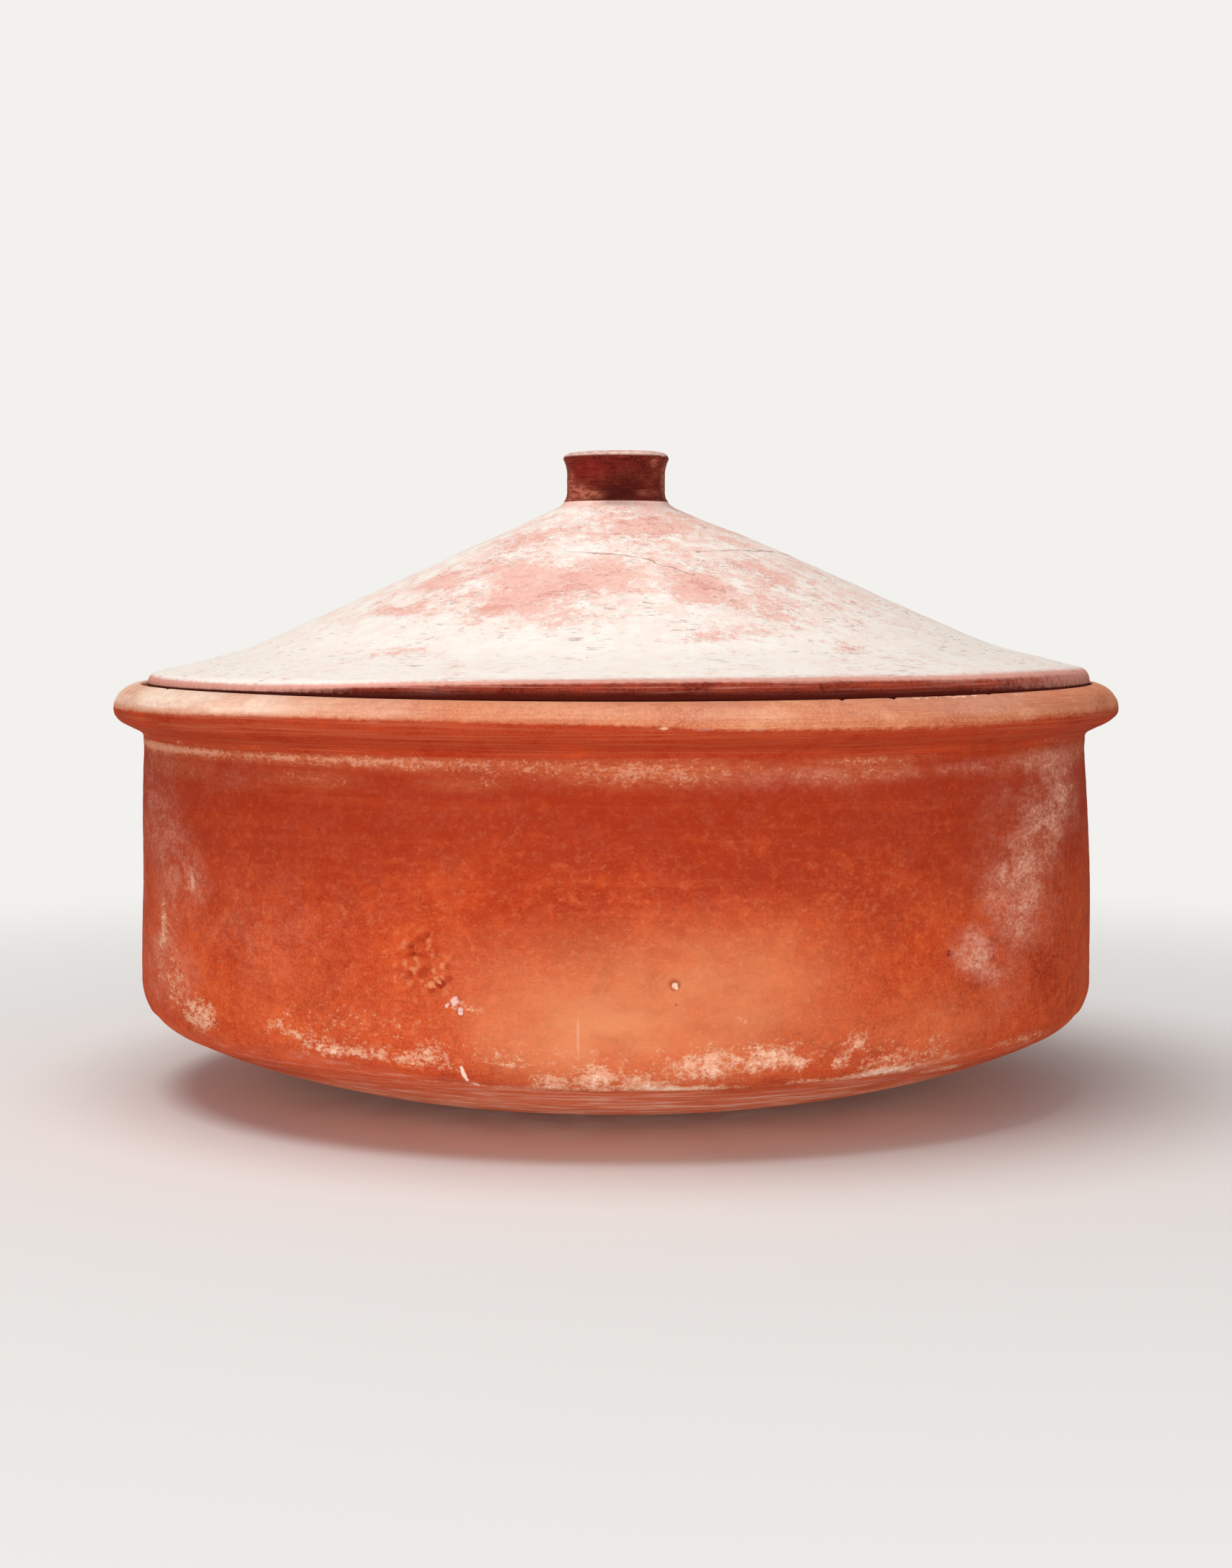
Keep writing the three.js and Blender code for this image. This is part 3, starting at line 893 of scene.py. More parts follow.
def bowl_relief(survey, sizes):
    """How far the hand moved the bowl's clay out of true, and which points are outside."""
    height, radius = survey.height, survey.radius
    mouth = sizes.mouth_height / MM
    outside = np.einsum("ij,ij->i", survey.normal, survey.place - (0, 0, mouth)) > 0
    along = radius + height
    free = eased(height, 1, 8)
    wander = -WALL_WANDER * (1 + survey.rings(height, 26, 1.2))
    lines = survey.lines(height, BOWL_LINES) - BOWL_SUNK
    trimmed = below_trim(survey) * eased(radius, STAND_TRUE, BASE_TRIMMED)
    trim = (survey.lines(radius, TRIM_LINES) - sizes.trim_step / MM) * trimmed
    outer = (wander + lines) * free * eased(height, mouth - 0.4, mouth - 3.9) + trim
    ridges = survey.finger_ridges(along, sizes.finger_ridge / MM, sizes.finger_pitch / MM)
    uneven = 0.75 + 0.35 * survey.grain(30)
    ridges = ridges * uneven * eased(height, mouth - 1.4, mouth - 7.4)
    button = BUTTON_HEIGHT * (1 - eased(radius, BUTTON_TOP, BUTTON_FOOT))
    inner = ridges + button + survey.lines(along, INNER_LINES)
    return np.where(outside, outer, inner), outside


def bowl_scars(survey):
    """The depth of the flaked scar and of the holes that the stones sit in."""
    height = survey.height
    worn_edge = survey.distance(SCAR, height) + 0.45 * survey.grain(7.0, 1, 6)
    inside = eased(worn_edge, 1.05, 0.45)
    wobble = 0.7 * survey.grain(1.6, 1, 3) + 0.35 * survey.grain(0.8, 1, 9)
    pits = eased(survey.grain(2.8, 1.2, 7) + 0.5 * survey.grain(1.1, 1, 3), 0.0, 0.6) * inside
    crumbs = eased(survey.grain(1.9, 1, 11) + 0.4 * survey.grain(0.8, 1, 5), 0.05, 0.6) * inside * (1 - pits)
    depth = deepest(survey, height, GOUGES, wobble, 0.3, 1.1)
    holes = deepest(survey, height, GRIT_HOLES, 0.3 * wobble, 0.5, 1)
    relief = -GOUGE_DEPTH * depth - PIT_DEPTH * pits - SCAR_DEPTH * inside + CRUMB_HEIGHT * crumbs - holes
    return relief, np.minimum(depth + 0.75 * pits, 1), crumbs * (1 - depth), holes


def wall_surface(tree, wheel, colours, clay, fine, mist, dust, pits):
    """The wall: painted shade high up under the lip and painted bounce light low down; lined by the wheel,
    blotched, paler in front from wear and painted bounce light, dusty and pitted.
    """
    place, height, turn = wheel["Place"], wheel["Height"], wheel["Turn"]
    wide = wheel_lines(tree, turn, height, 3.4, 60.0)
    nicks = wheel_lines(tree, turn, height, 0.9, 3.0)
    drift = lumps(tree, scaled(tree, place, (0.03, 0.03, 0.06)), 4.0, 0.55, 0.4)
    blotch = lumps(tree, scaled(tree, place, (0.2, 0.2, 0.24)), 6.0, 0.75, 0.3)
    sand = lumps(tree, scaled(tree, place, (0.5, 0.5, 0.6)), 5.0, 0.75)
    rise = sum_of(tree, height, centred(tree, drift, 46.0))
    # Painted bounce light: 1 low on the wall and less higher up, so that blotches and sand grow lighter where
    # the floor's light falls.
    low = ramp(tree, rise, 96, 60, 0.35, 1.0)
    return coats(
        tree, clay,
        # Painted shade: the clay darkens higher up, into the shade under the lip.
        (ramp(tree, rise, 44, 90, 0.0, 0.92), colours.wall_dark),
        (ramp(tree, wide, 0.52, 0.72, 0, 0.16), colours.wall_light),
        (ramp(tree, fine, 0.44, 0.28, 0, 0.35), colours.wall_dark),
        (ramp(tree, nicks, 0.66, 0.76, 0, 0.4), colours.knob_red),
        (times(tree, ramp(tree, blotch, 0.5, 0.64, 0, 0.36), low), colours.wall_light),
        (ramp(tree, blotch, 0.48, 0.36, 0, 0.26), colours.wall_dark),
        # Paler clay low on the front: partly wear, partly painted bounce light.
        (times(tree, layer(tree, "worn_and_bounce_lit"), ramp(tree, mist, 0.3, 0.62, 0.65, 1.0)), colours.worn_and_bounce_lit),
        (times(tree, ramp(tree, sand, 0.5, 0.68, 0.0, 0.25), low), colours.worn_and_bounce_lit),
        (dust, colours.haze),
        # Painted shade in small pits.
        (times(tree, pits, 0.3), colours.soil_and_shade),
    )


def foot_surface(tree, wheel, colours, wall, mist):
    """The trimmed base: its paler clay, chalky on some of the trimming lines and cut red along others. The
    paler clay and chalky lines are partly painted light that brightens the base.
    """
    lines = wheel_lines(tree, wheel["Turn"], wheel["Radius"], 1.8, 13.0)
    inwards = ramp(tree, wheel["Radius"], 130, 108, 0.25, 1.0)
    foot = layer(tree, "foot")
    # Paler clay and chalky lines low on the base, partly painted light.
    cloudy = times(tree, foot, times(tree, inwards, ramp(tree, mist, 0.34, 0.6, 0.7, 1.0)))
    return coats(
        tree, wall,
        (cloudy, colours.foot),
        (times(tree, cloudy, ramp(tree, lines, 0.5, 0.62, 0, 0.75)), colours.crust_bright),
        (times(tree, foot, ramp(tree, lines, 0.45, 0.33, 0, 0.5)), colours.wall_mid),
    )


def deposit_surface(tree, wheel, colours, clay, bloom):
    """The pale deposit over the clay: a film, then the crust, then its thickest part."""
    place, amount = wheel["Place"], layer(tree, "neck")
    neck = use(
        tree, white_bloom(), Place=scaled(tree, place, (0.7, 0.7, 1.0)), Amount=amount,
        Patch_Size=5.0, Flake_Size=1.2, Speck_Size=0.6, Softness=0.3,
    )
    smudges = lumps(tree, scaled(tree, place, (0.35, 0.35, 1.1)), 6.0, 0.75)
    film = times(tree, amount, ramp(tree, smudges, 0.34, 0.62, 0.22, 0.86))
    cover = greater_of(tree, times(tree, neck["Mask"], 0.36), times(tree, bloom["Mask"], 0.7))
    return coats(
        tree, clay,
        (greater_of(tree, film, times(tree, bloom["Veil"], 0.55)), colours.stain),
        (cover, colours.crust),
        (times(tree, bloom["Thick"], 0.85), colours.crust_bright),
    )


def bowl_material(colours):
    made, tree, shader, wheel = new_material("weathered bowl clay with painted light and shade")
    place = wheel["Place"]
    clay = clay_of(tree, place, colours.wall_light, colours.wall_mid, colours.wall_dark, 28.0)
    fine = wheel_lines(tree, wheel["Turn"], wheel["Height"], 0.7, 14.0)
    mist = lumps(tree, scaled(tree, place, (0.06, 0.06, 0.1)), 5.0, 0.55, 0.4)
    drawn = scaled(tree, place, (1, 0.45, 1))
    haze = layer(tree, "haze")
    dust = use(tree, thin_dust(), Place=drawn, Amount=haze)["Cover"]
    pits = use(
        tree, grits(), Place=scaled(tree, place, (1, 1, 1.3)), Spacing=5.2, Share=0.2, Size=0.09,
    )["Mask"]
    bloom = use(
        tree, white_bloom(), Place=scaled(tree, drawn, (0.85, 0.85, 1.0)),
        Amount=sum_of(tree, layer(tree, "crust"), times(tree, haze, 0.2)),
        Patch_Size=2.8, Flake_Size=1.3, Speck_Size=0.6, Softness=0.3,
    )
    wall = wall_surface(tree, wheel, colours, clay["Colour"], fine, mist, dust, pits)
    trimmed = foot_surface(tree, wheel, colours, wall, mist)
    outer = coats(
        tree, deposit_surface(tree, wheel, colours, trimmed, bloom),
        # Painted shade in the scar's gouges and pits.
        (times(tree, layer(tree, "scar"), 0.7), colours.wall_dark),
        (times(tree, layer(tree, "crumb"), 0.7), colours.worn_and_bounce_lit),
        # Painted shade in the holes that the stones sit in.
        (times(tree, layer(tree, "hole"), 0.4), colours.soil_and_shade),
    )
    for mark, tint, radius, tilt, ragged in STREAKS:
        outer = lay_mark(tree, wheel, outer, getattr(colours, tint), mark, radius, tilt, ragged)
    inner = coats(
        tree, clay_of(tree, place, colours.wall_light, colours.inside, colours.wall_mid, 44.0)["Colour"],
        (ramp(tree, fine, 0.5, 0.3, 0, 0.3), colours.wall_dark),
    )
    whole = mixed(tree, layer(tree, "inside"), outer, inner)
    relief = sum_of(tree, times(tree, clay["Grain"], 0.5), times(tree, fine, 0.5))
    crusted = sum_of(tree, relief, times(tree, bloom["Mask"], 0.6))
    bumps = less(tree, crusted, times(tree, pits, 0.8))
    give(tree, shader, whole, ramp(tree, clay["Grain"], 0.3, 0.7, 0.78, 0.92), bumps, 0.24)
    return made


def paint_bowl(bowl, survey, outside, gouged, crumbs, holes):
    """Lays down what each point of the bowl wears, and where light and shade are painted on it."""
    height = survey.height
    beside = survey.turned(-16.8)
    wiped = eased(beside, 3, -2.5) * eased(beside, -120, -60) * eased(height, 54, 38)
    aside = eased(np.abs(survey.turned(TRIM_FRONT)), 22, 48) * eased(survey.radius, 112, 126)
    paint(bowl, "inside", 1 - outside.astype(float))
    paint(bowl, "crust", dabs(survey, height, BASE_CRUST + BACK_CRUST, core=0.1))
    paint(bowl, "neck", dabs(survey, height, NECK_CRUST, core=0.1))
    paint(bowl, "haze", dabs(survey, height, WALL_HAZE, core=0.1) + 0.05)
    # Partly wear and partly painted bounce light, low on the front.
    paint(bowl, "worn_and_bounce_lit", dabs(survey, height, WORN_AND_BOUNCE_LIT_CLAY, core=0.0) * (1 - 0.6 * wiped))
    paint(bowl, "foot", below_trim(survey, 1.8, 2.0) * (1 - 0.55 * aside))
    # Painted shade in the scar's gouges and pits.
    paint(bowl, "scar", gouged)
    paint(bowl, "crumb", crumbs)
    # Painted shade in the holes that the stones sit in.
    paint(bowl, "hole", eased(holes, 0.25, 1.2))


class PotThrowBowl(bpy.types.Operator):
    """Throw the bowl, with its shallow base, its wall, its scar and its pits"""
    bl_idname = "pot.throw_bowl"
    bl_label = "Throw Bowl"

    def execute(self, context):
        sizes = context.scene.pot_bowl_sizes
        floor, inner_side = sizes.floor_thickness, sizes.wall_radius - sizes.wall_thickness
        outer_face = bowl_face(sizes, 0, sizes.wall_radius, sizes.corner_outside, sizes.outer_gap)
        inner_face = bowl_face(sizes, floor, inner_side, sizes.corner_inside, sizes.inner_gap)
        bowl = throw("bowl", outer_face + inner_face[::-1], sizes.steps)
        middle_of_wall = (sizes.wall_radius - sizes.wall_thickness / 2) / MM
        refine_round(bowl, [SCAR], 1.1, 3, lambda faces: faces.radius > middle_of_wall)
        refine_round(bowl, GRIT_HOLES, 2.0, 3, lambda faces: faces.radius > middle_of_wall)
        survey = Survey(bowl)
        relief, outside = bowl_relief(survey, sizes)
        scars, gouged, crumbs, holes = bowl_scars(survey)
        press(bowl, relief)
        press(bowl, np.where(outside, scars, 0))
        press(bowl, sideways(survey.height), "X")
        paint_bowl(bowl, survey, outside, gouged, crumbs, holes)
        material = bowl_material(context.scene.pot_colours)
        finish_piece(bowl, "pot", material, "pot_bowl")
        return {"FINISHED"}


# The rim band

RIM_DUST = [
    Mark(-84, 118, 60, 10, 0.95), Mark(-58, 118, 46, 10, 0.95), Mark(-42, 118, 34, 9, 0.8),
    Mark(-26, 118, 28, 8, 0.36), Mark(8, 118, 60, 7, 0.10), Mark(40, 119, 50, 6, 0.14),
    Mark(84, 118, 30, 9, 0.3), Mark(120, 118, 90, 9, 0.45), Mark(180, 118, 90, 9, 0.7),
    Mark(-130, 118, 90, 9, 0.75),
]
RIM_SPLASH = [
    Mark(-78, 106.6, 40, 2.6, 0.26), Mark(-52, 106.0, 50, 1.8, 0.18), Mark(-28, 105.8, 40, 1.4, 0.12),
    Mark(178, 106.2, 90, 2.0, 0.40), Mark(120, 106.2, 70, 2.0, 0.34), Mark(-120, 106.2, 70, 2.0, 0.4),
    Mark(4.6, 113.4, 2.0, 0.8, 0.7), Mark(20, 113.6, 4, 0.8, 0.4), Mark(-74, 111, 30, 6, 0.16),
    Mark(62, 106.4, 36, 2.4, 0.2),
]
# Height of the line where the lip's pale top, painted as lit from above, turns into its redder underside,
# painted as in shade, by the angle
TURNOVER = [
    (-180, 114.6), (-110, 114.2), (-52, 114.7), (-45, 115.1), (-34, 115.4), (-18, 115.3), (-10, 114.9),
    (0, 114.4), (6, 113.6), (12, 113.0), (22, 112.7), (34, 112.8), (44, 113.4), (56, 114.4), (110, 114.2),
    (180, 114.6),
]
# Flakes off the crown's inner edge and off the lip: strength is the depth in millimetres
RIM_CHIPS = [
    Mark(30.2, 121.2, 1.6, 1.0, 0.40), Mark(24.0, 121.0, 1.2, 0.9, 0.35),
    Mark(-61.0, 121.2, 2.4, 1.2, 0.40), Mark(4.6, 113.3, 1.6, 0.8, 0.30),
    Mark(8.5, 113.0, 4.0, 0.7, 0.35), Mark(14.0, 112.9, 2.0, 0.8, 0.35),
    Mark(-24.5, 114.9, 2.6, 1.3, 0.25), Mark(152.0, 121.0, 5.0, 1.4, 0.6),
    Mark(-141.0, 121.2, 3.4, 1.4, 0.6), Mark(-100.0, 113.5, 4.0, 1.4, 0.45),
]
# Stretches where the crown's inner edge has crumbled
CRUMBLED = [Mark(37, 121.2, 14, 1.5, 0.7), Mark(46, 121.2, 13, 1.6, 0.8), Mark(-168, 121.2, 12, 1.4, 0.6)]

# Lines on the lip, which are sunk by a little and wander in from true, so that they stay inside its radius
RIM_LINES = [Lines(0.05, 0.9, 1.0, 3), Lines(0.06, 2.4, 1.5, 8)]
RIM_SUNK = 0.1
RIM_WANDER = 0.12
# Where round the pot the crown sags most, and over how many degrees to both sides
DIP_MIDDLE, DIP_REACH = 2, 52
# Radii of the lip's widest line and of the step's wall, and heights of that line, the crown and the seat
RimLevels = namedtuple("RimLevels", "widest step_wall lip_line crown seat")


def rim_levels(sizes):
    return RimLevels(
        widest=sizes.radius / MM,
        step_wall=(sizes.radius - sizes.lip_width) / MM,
        lip_line=(sizes.foot_height + sizes.lip_rise) / MM,
        crown=sizes.crown_height / MM,
        seat=(sizes.crown_height - sizes.step_depth) / MM,
    )


def rim_outline(sizes, bowl):
    neck = bowl.wall_radius - bowl.neck_draw
    lip_height = sizes.foot_height + sizes.lip_rise
    step_wall = sizes.radius - sizes.lip_width
    crown = point(step_wall + sizes.crown_round, sizes.crown_height)
    seat_height = sizes.crown_height - sizes.step_depth
    seat_inner = step_wall - sizes.seat_width
    start = point(neck, sizes.foot_height)
    hollow_end = start + Vector((sizes.hollow_reach, sizes.hollow_climb))
    widest = point(sizes.radius, lip_height)
    under_round = widest - Vector((0, sizes.lip_under_round))
    crown_edge = point(step_wall, sizes.crown_height - sizes.crown_round)
    step_foot = point(step_wall, seat_height)
    seat_end = point(seat_inner + sizes.seat_round, seat_height)
    seat_edge = point(seat_inner, seat_height - sizes.seat_round)
    inner_foot = point(neck - bowl.wall_thickness, sizes.foot_height)
    return outline(
        sizes.gap,
        bowed(start, start + Vector((0, sizes.hollow_turn)), hollow_end),
        swept(hollow_end, hollow_end * 2 - start - Vector((0, sizes.hollow_turn)), under_round, widest),
        quarter_ellipse(point(crown.x, lip_height), sizes.radius - crown.x, sizes.crown_height - lip_height),
        bowed(crown, point(step_wall, sizes.crown_height), crown_edge),
        straight(crown_edge, step_foot),
        straight(step_foot, seat_end),
        bowed(seat_end, point(seat_inner, seat_height), seat_edge),
        straight(seat_edge, inner_foot),
        straight(inner_foot, start),
    )


def rim_sag(survey, sizes, levels):
    """How far the crown sags at the front, spread over the clay that carries it."""
    height = survey.height
    outer = np.clip((height - levels.lip_line) / (levels.crown - levels.lip_line), 0, 1)
    inner = np.clip((height - levels.seat) / (levels.crown - levels.seat), 0, 1)
    past_crown = survey.radius >= levels.step_wall + sizes.crown_round / MM - 0.01
    front = np.exp(-(survey.turned(DIP_MIDDLE) / DIP_REACH) ** 2)
    return -sizes.front_dip / MM * np.where(past_crown, outer, inner) * front


def rim_wear(survey, levels):
    """How deep the chips off the rim's edges are, and its crumbled stretches."""
    height, radius = survey.height, survey.radius
    chips = deepest(survey, height, RIM_CHIPS, 0.4 * survey.grain(1.0), 0.55, 1)
    crumbs = eased(survey.grain(1.5, 1.4, 9) + 0.6 * survey.grain(0.7, 1.4, 2), -0.02, 0.22)
    crumbled = dabs(survey, height, CRUMBLED, core=0.5) * crumbs
    crumbled *= eased(radius, levels.step_wall + 3.3, levels.step_wall + 2.1)
    on_lip = eased(radius, levels.step_wall - 0.2, levels.step_wall - 0.05)
    on_lip *= eased(height, levels.lip_line - 2.8, levels.lip_line - 1.8)
    return chips * on_lip, crumbled * on_lip


def paint_rim(rim, survey, levels, chips, crumbled):
    """Lays down what each point of the rim wears, where its top is painted lit, and the painted shade in its
    step.
    """
    height, radius = survey.height, survey.radius
    up = eased(survey.normal[:, 2], -0.1, 0.45)
    line = np.interp(survey.angle, *zip(*TURNOVER))
    blur = 1.1 + 0.9 * eased(survey.turned(40), -40, 0)
    settled = (dabs(survey, height, RIM_DUST, core=0.1) + 0.08) * up
    # Painted shade in the lid's step, less towards the crown and where the gap is wider at the left.
    in_step = eased(radius, levels.step_wall + 0.5, levels.step_wall + 0.05)
    in_step *= eased(height, levels.seat - 0.6, levels.seat - 0.1)
    wiped = 0.75 * eased(radius, levels.step_wall - 2.1, levels.step_wall - 5.1)
    left = eased(survey.turned(-62), 30, 0) * eased(survey.turned(-62), -70, -40)
    # Painted light and shade: 1 where the lip's top is painted lit, 0 where its underside is painted shaded.
    paint(rim, "lit", eased(height, line - blur, line + blur))
    paint(rim, "dust", settled * eased(height, line - 1, line + 1.5))
    paint(rim, "crust", dabs(survey, height, RIM_SPLASH, core=0.1))
    paint(rim, "chip", np.maximum(0.4 * chips, 1.3 * crumbled))
    paint(rim, "soil_and_shade", in_step * (1 - wiped) * (1 - 0.8 * left))


def rim_material(colours):
    made, tree, shader, wheel = new_material("dusty rim clay with painted light and shade")
    place, turn = wheel["Place"], wheel["Turn"]
    along = sum_of(tree, wheel["Height"], times(tree, wheel["Radius"], 0.4))
    fine = wheel_lines(tree, turn, along, 0.45, 26.0)
    wide = wheel_lines(tree, turn, along, 1.6, 50.0)
    sweeps = wheel_lines(tree, turn, along, 2.6, 12.0)
    # Painted light and shade: the lip's top is a lit copy of the clay, its underside a shaded one.
    top = clay_of(tree, place, colours.lit_rim_light, colours.lit_rim_mid, colours.lit_rim_dark, 16.0)
    under = clay_of(tree, place, colours.wall_mid, colours.shaded_rim_under, colours.wall_dark, 18.0)
    uneven = lumps(tree, scaled(tree, place, (0.4, 0.4, 0.9)), 5.0, 0.7)
    turnover = ramp(tree, sum_of(tree, layer(tree, "lit"), centred(tree, uneven, 1.4)), 0.1, 0.9)
    swirls = times(tree, ramp(tree, sweeps, 0.34, 0.62, 0.6, 1.0), ramp(tree, uneven, 0.34, 0.6, 0.75, 1.0))
    splash = use(
        tree, white_bloom(), Place=scaled(tree, place, (0.6, 0.6, 1.0)), Amount=layer(tree, "crust"),
        Patch_Size=4.4, Flake_Size=1.5, Speck_Size=0.6, Softness=0.16,
    )
    chip = layer(tree, "chip")
    surface = coats(
        tree, mixed(tree, turnover, under["Colour"], top["Colour"]),
        (ramp(tree, wide, 0.46, 0.34, 0, 0.35), colours.lit_rim_dark),
        (ramp(tree, fine, 0.5, 0.34, 0, 0.55), colours.lit_rim_dark),
        (times(tree, ramp(tree, wide, 0.52, 0.7, 0, 0.5), turnover), colours.lit_rim_light),
        (times(tree, layer(tree, "dust"), swirls), colours.rim_dust_and_highlight),
        (times(tree, splash["Veil"], 0.35), colours.stain),
        (times(tree, splash["Mask"], 0.62), colours.crust),
        # Painted highlight on the chips' shallow edges, and painted shade in their deep bottoms.
        (ramp(tree, chip, 0.05, 0.4, 0, 0.75), colours.rim_dust_and_highlight),
        (ramp(tree, chip, 0.5, 0.9, 0, 0.75), colours.shaded_rim_under),
        # Painted shade in the lid's step.
        (layer(tree, "soil_and_shade"), colours.soil_and_shade),
    )
    relief = sum_of(tree, times(tree, top["Grain"], 0.45), times(tree, fine, 0.7))
    bumps = sum_of(tree, relief, times(tree, splash["Mask"], 0.5))
    give(tree, shader, surface, ramp(tree, top["Grain"], 0.3, 0.7, 0.76, 0.9), bumps, 0.22)
    return made


class PotLuteRim(bpy.types.Operator):
    """Lute the rim band to the top of the wall, with its lip, its step and its chips"""
    bl_idname = "pot.lute_rim"
    bl_label = "Lute Rim"

    def execute(self, context):
        sizes = context.scene.pot_rim_sizes
        levels = rim_levels(sizes)
        rim = throw("rim_band", rim_outline(sizes, context.scene.pot_bowl_sizes), sizes.steps)
        refine_round(
            rim, RIM_CHIPS + CRUMBLED, 1.2, 2,
            lambda faces: (faces.radius > levels.step_wall - 0.6) & (faces.height > levels.lip_line - 1.8),
        )
        survey = Survey(rim)
        height, radius = survey.height, survey.radius
        press(rim, rim_sag(survey, sizes, levels), "Z")
        lip = eased(radius, levels.step_wall + 0.9, levels.step_wall + 3.9)
        lip *= eased(radius, levels.widest - 0.1, levels.widest - 1)
        lines = survey.lines(height + 0.4 * radius, RIM_LINES)
        wander = -RIM_WANDER * (1 + survey.rings(height, 30, 1.3, 5))
        chips, crumbled = rim_wear(survey, levels)
        press(rim, (lines - RIM_SUNK + wander) * lip - np.maximum(chips, crumbled))
        press(rim, sideways(height) * eased(height, levels.lip_line - 0.8, levels.lip_line - 5.8), "X")
        paint_rim(rim, survey, levels, chips, crumbled)
        material = rim_material(context.scene.pot_colours)
        finish_piece(rim, "pot", material, "pot_rim")
        return {"FINISHED"}


# The lid cone

# Bare patches in the bloom, with a radius for a level, and places where it is thickest
BARE_PATCHES = [
    Mark(-19, 78, 22, 24, 0.55), Mark(-10, 92, 12, 8, 0.25), Mark(-4, 64, 15, 13, 0.50),
    Mark(-28, 62, 16, 12, 0.40), Mark(18, 74, 15, 15, 0.55), Mark(-50, 68, 14, 10, 0.60),
    Mark(-45, 86, 22, 9, 0.42), Mark(27, 88, 16, 15, 0.34), Mark(14.5, 102, 12, 7, 0.42),
    Mark(22, 100, 14, 8, 0.36), Mark(2, 34, 26, 12, 0.24), Mark(24, 33, 12, 9, 0.36),
    Mark(-40, 40, 16, 10, 0.30), Mark(50, 42, 10, 8, 0.36), Mark(42, 64, 18, 16, 0.36),
    Mark(66, 62, 12, 14, 0.20), Mark(-31, 112, 14, 6, 0.36), Mark(-43, 112, 9, 4, 0.36),
    Mark(-72, 48, 20, 16, 0.24), Mark(8, 104, 14, 5, 0.32), Mark(-60, 106, 16, 6, 0.22),
    Mark(34, 112, 12, 4, 0.08), Mark(-2, 112, 12, 3, 0.14), Mark(52, 118, 22, 8, 0.18),
    Mark(118, 70, 34, 26, 0.50), Mark(165, 52, 30, 18, 0.42), Mark(-150, 78, 40, 24, 0.46),
    Mark(-112, 60, 22, 16, 0.4), Mark(140, 104, 22, 8, 0.40), Mark(-170, 108, 26, 9, 0.38),
]
THICK_BLOOM = [
    Mark(-6, 108, 60, 14, 0.16), Mark(-20, 48, 14, 5, 0.26), Mark(-34, 96, 14, 9, 0.26),
    Mark(8, 92, 9, 8, 0.20), Mark(7, 80, 7, 8, 0.26), Mark(-60, 104, 60, 20, 0.14),
    Mark(34, 54, 12, 5, 0.26), Mark(62, 114, 60, 14, 0.10), Mark(-6, 46, 12, 4, 0.20),
    Mark(-30, 80, 6, 8, 0.15), Mark(76, 76, 34, 44, 0.36), Mark(-74, 62, 30, 60, 0.4),
]
# Each crack runs from one of its points to the next: degrees round the pot and a radius
CRACKS = [
    [
        (-18, 49.1), (-13, 49.6), (-5.4, 51), (1.9, 52.3), (8.9, 55), (10.5, 57.7), (14.1, 59.9),
        (16.8, 63.4), (18.8, 65.6),
    ],
    [(26.7, 50.3), (38.3, 49.2), (52.7, 49.3), (74.9, 51.5), (88, 53)],
]
# All of the cracks lie between these radii, and a point further in or out is nowhere near one
CRACKED_FROM, CRACKED_TO = 40, 68
NOWHERE_NEAR = 9
# How deep the cracks are, how far from their middle their sides start, and where these reach the bottom
CRACK_DEPTH, CRACK_BRINK, CRACK_BOTTOM = 0.4, 0.45, 0.1
# Height of the line where the bloom ends on the lid's edge, by the angle
SPILL = [
    (-180, 124.4), (-78, 123.6), (-60, 123.0), (-44, 122.7), (-34, 123.2), (-22, 124.2), (-8, 124.9),
    (4, 125.1), (24, 125.0), (40, 124.6), (58, 124.8), (80, 124.4), (180, 124.4),
]

# Lines and dents on top, which are sunk by a little. A dent has a depth, a size and a place in the noise.
LID_LINES = [Lines(0.05, 1.5, 1.0, 6), Lines(0.06, 5.0, 1.4, 2)]
LID_DENTS = [(0.25, 34, 4), (0.08, 9, 8)]
LID_SUNK = 0.12


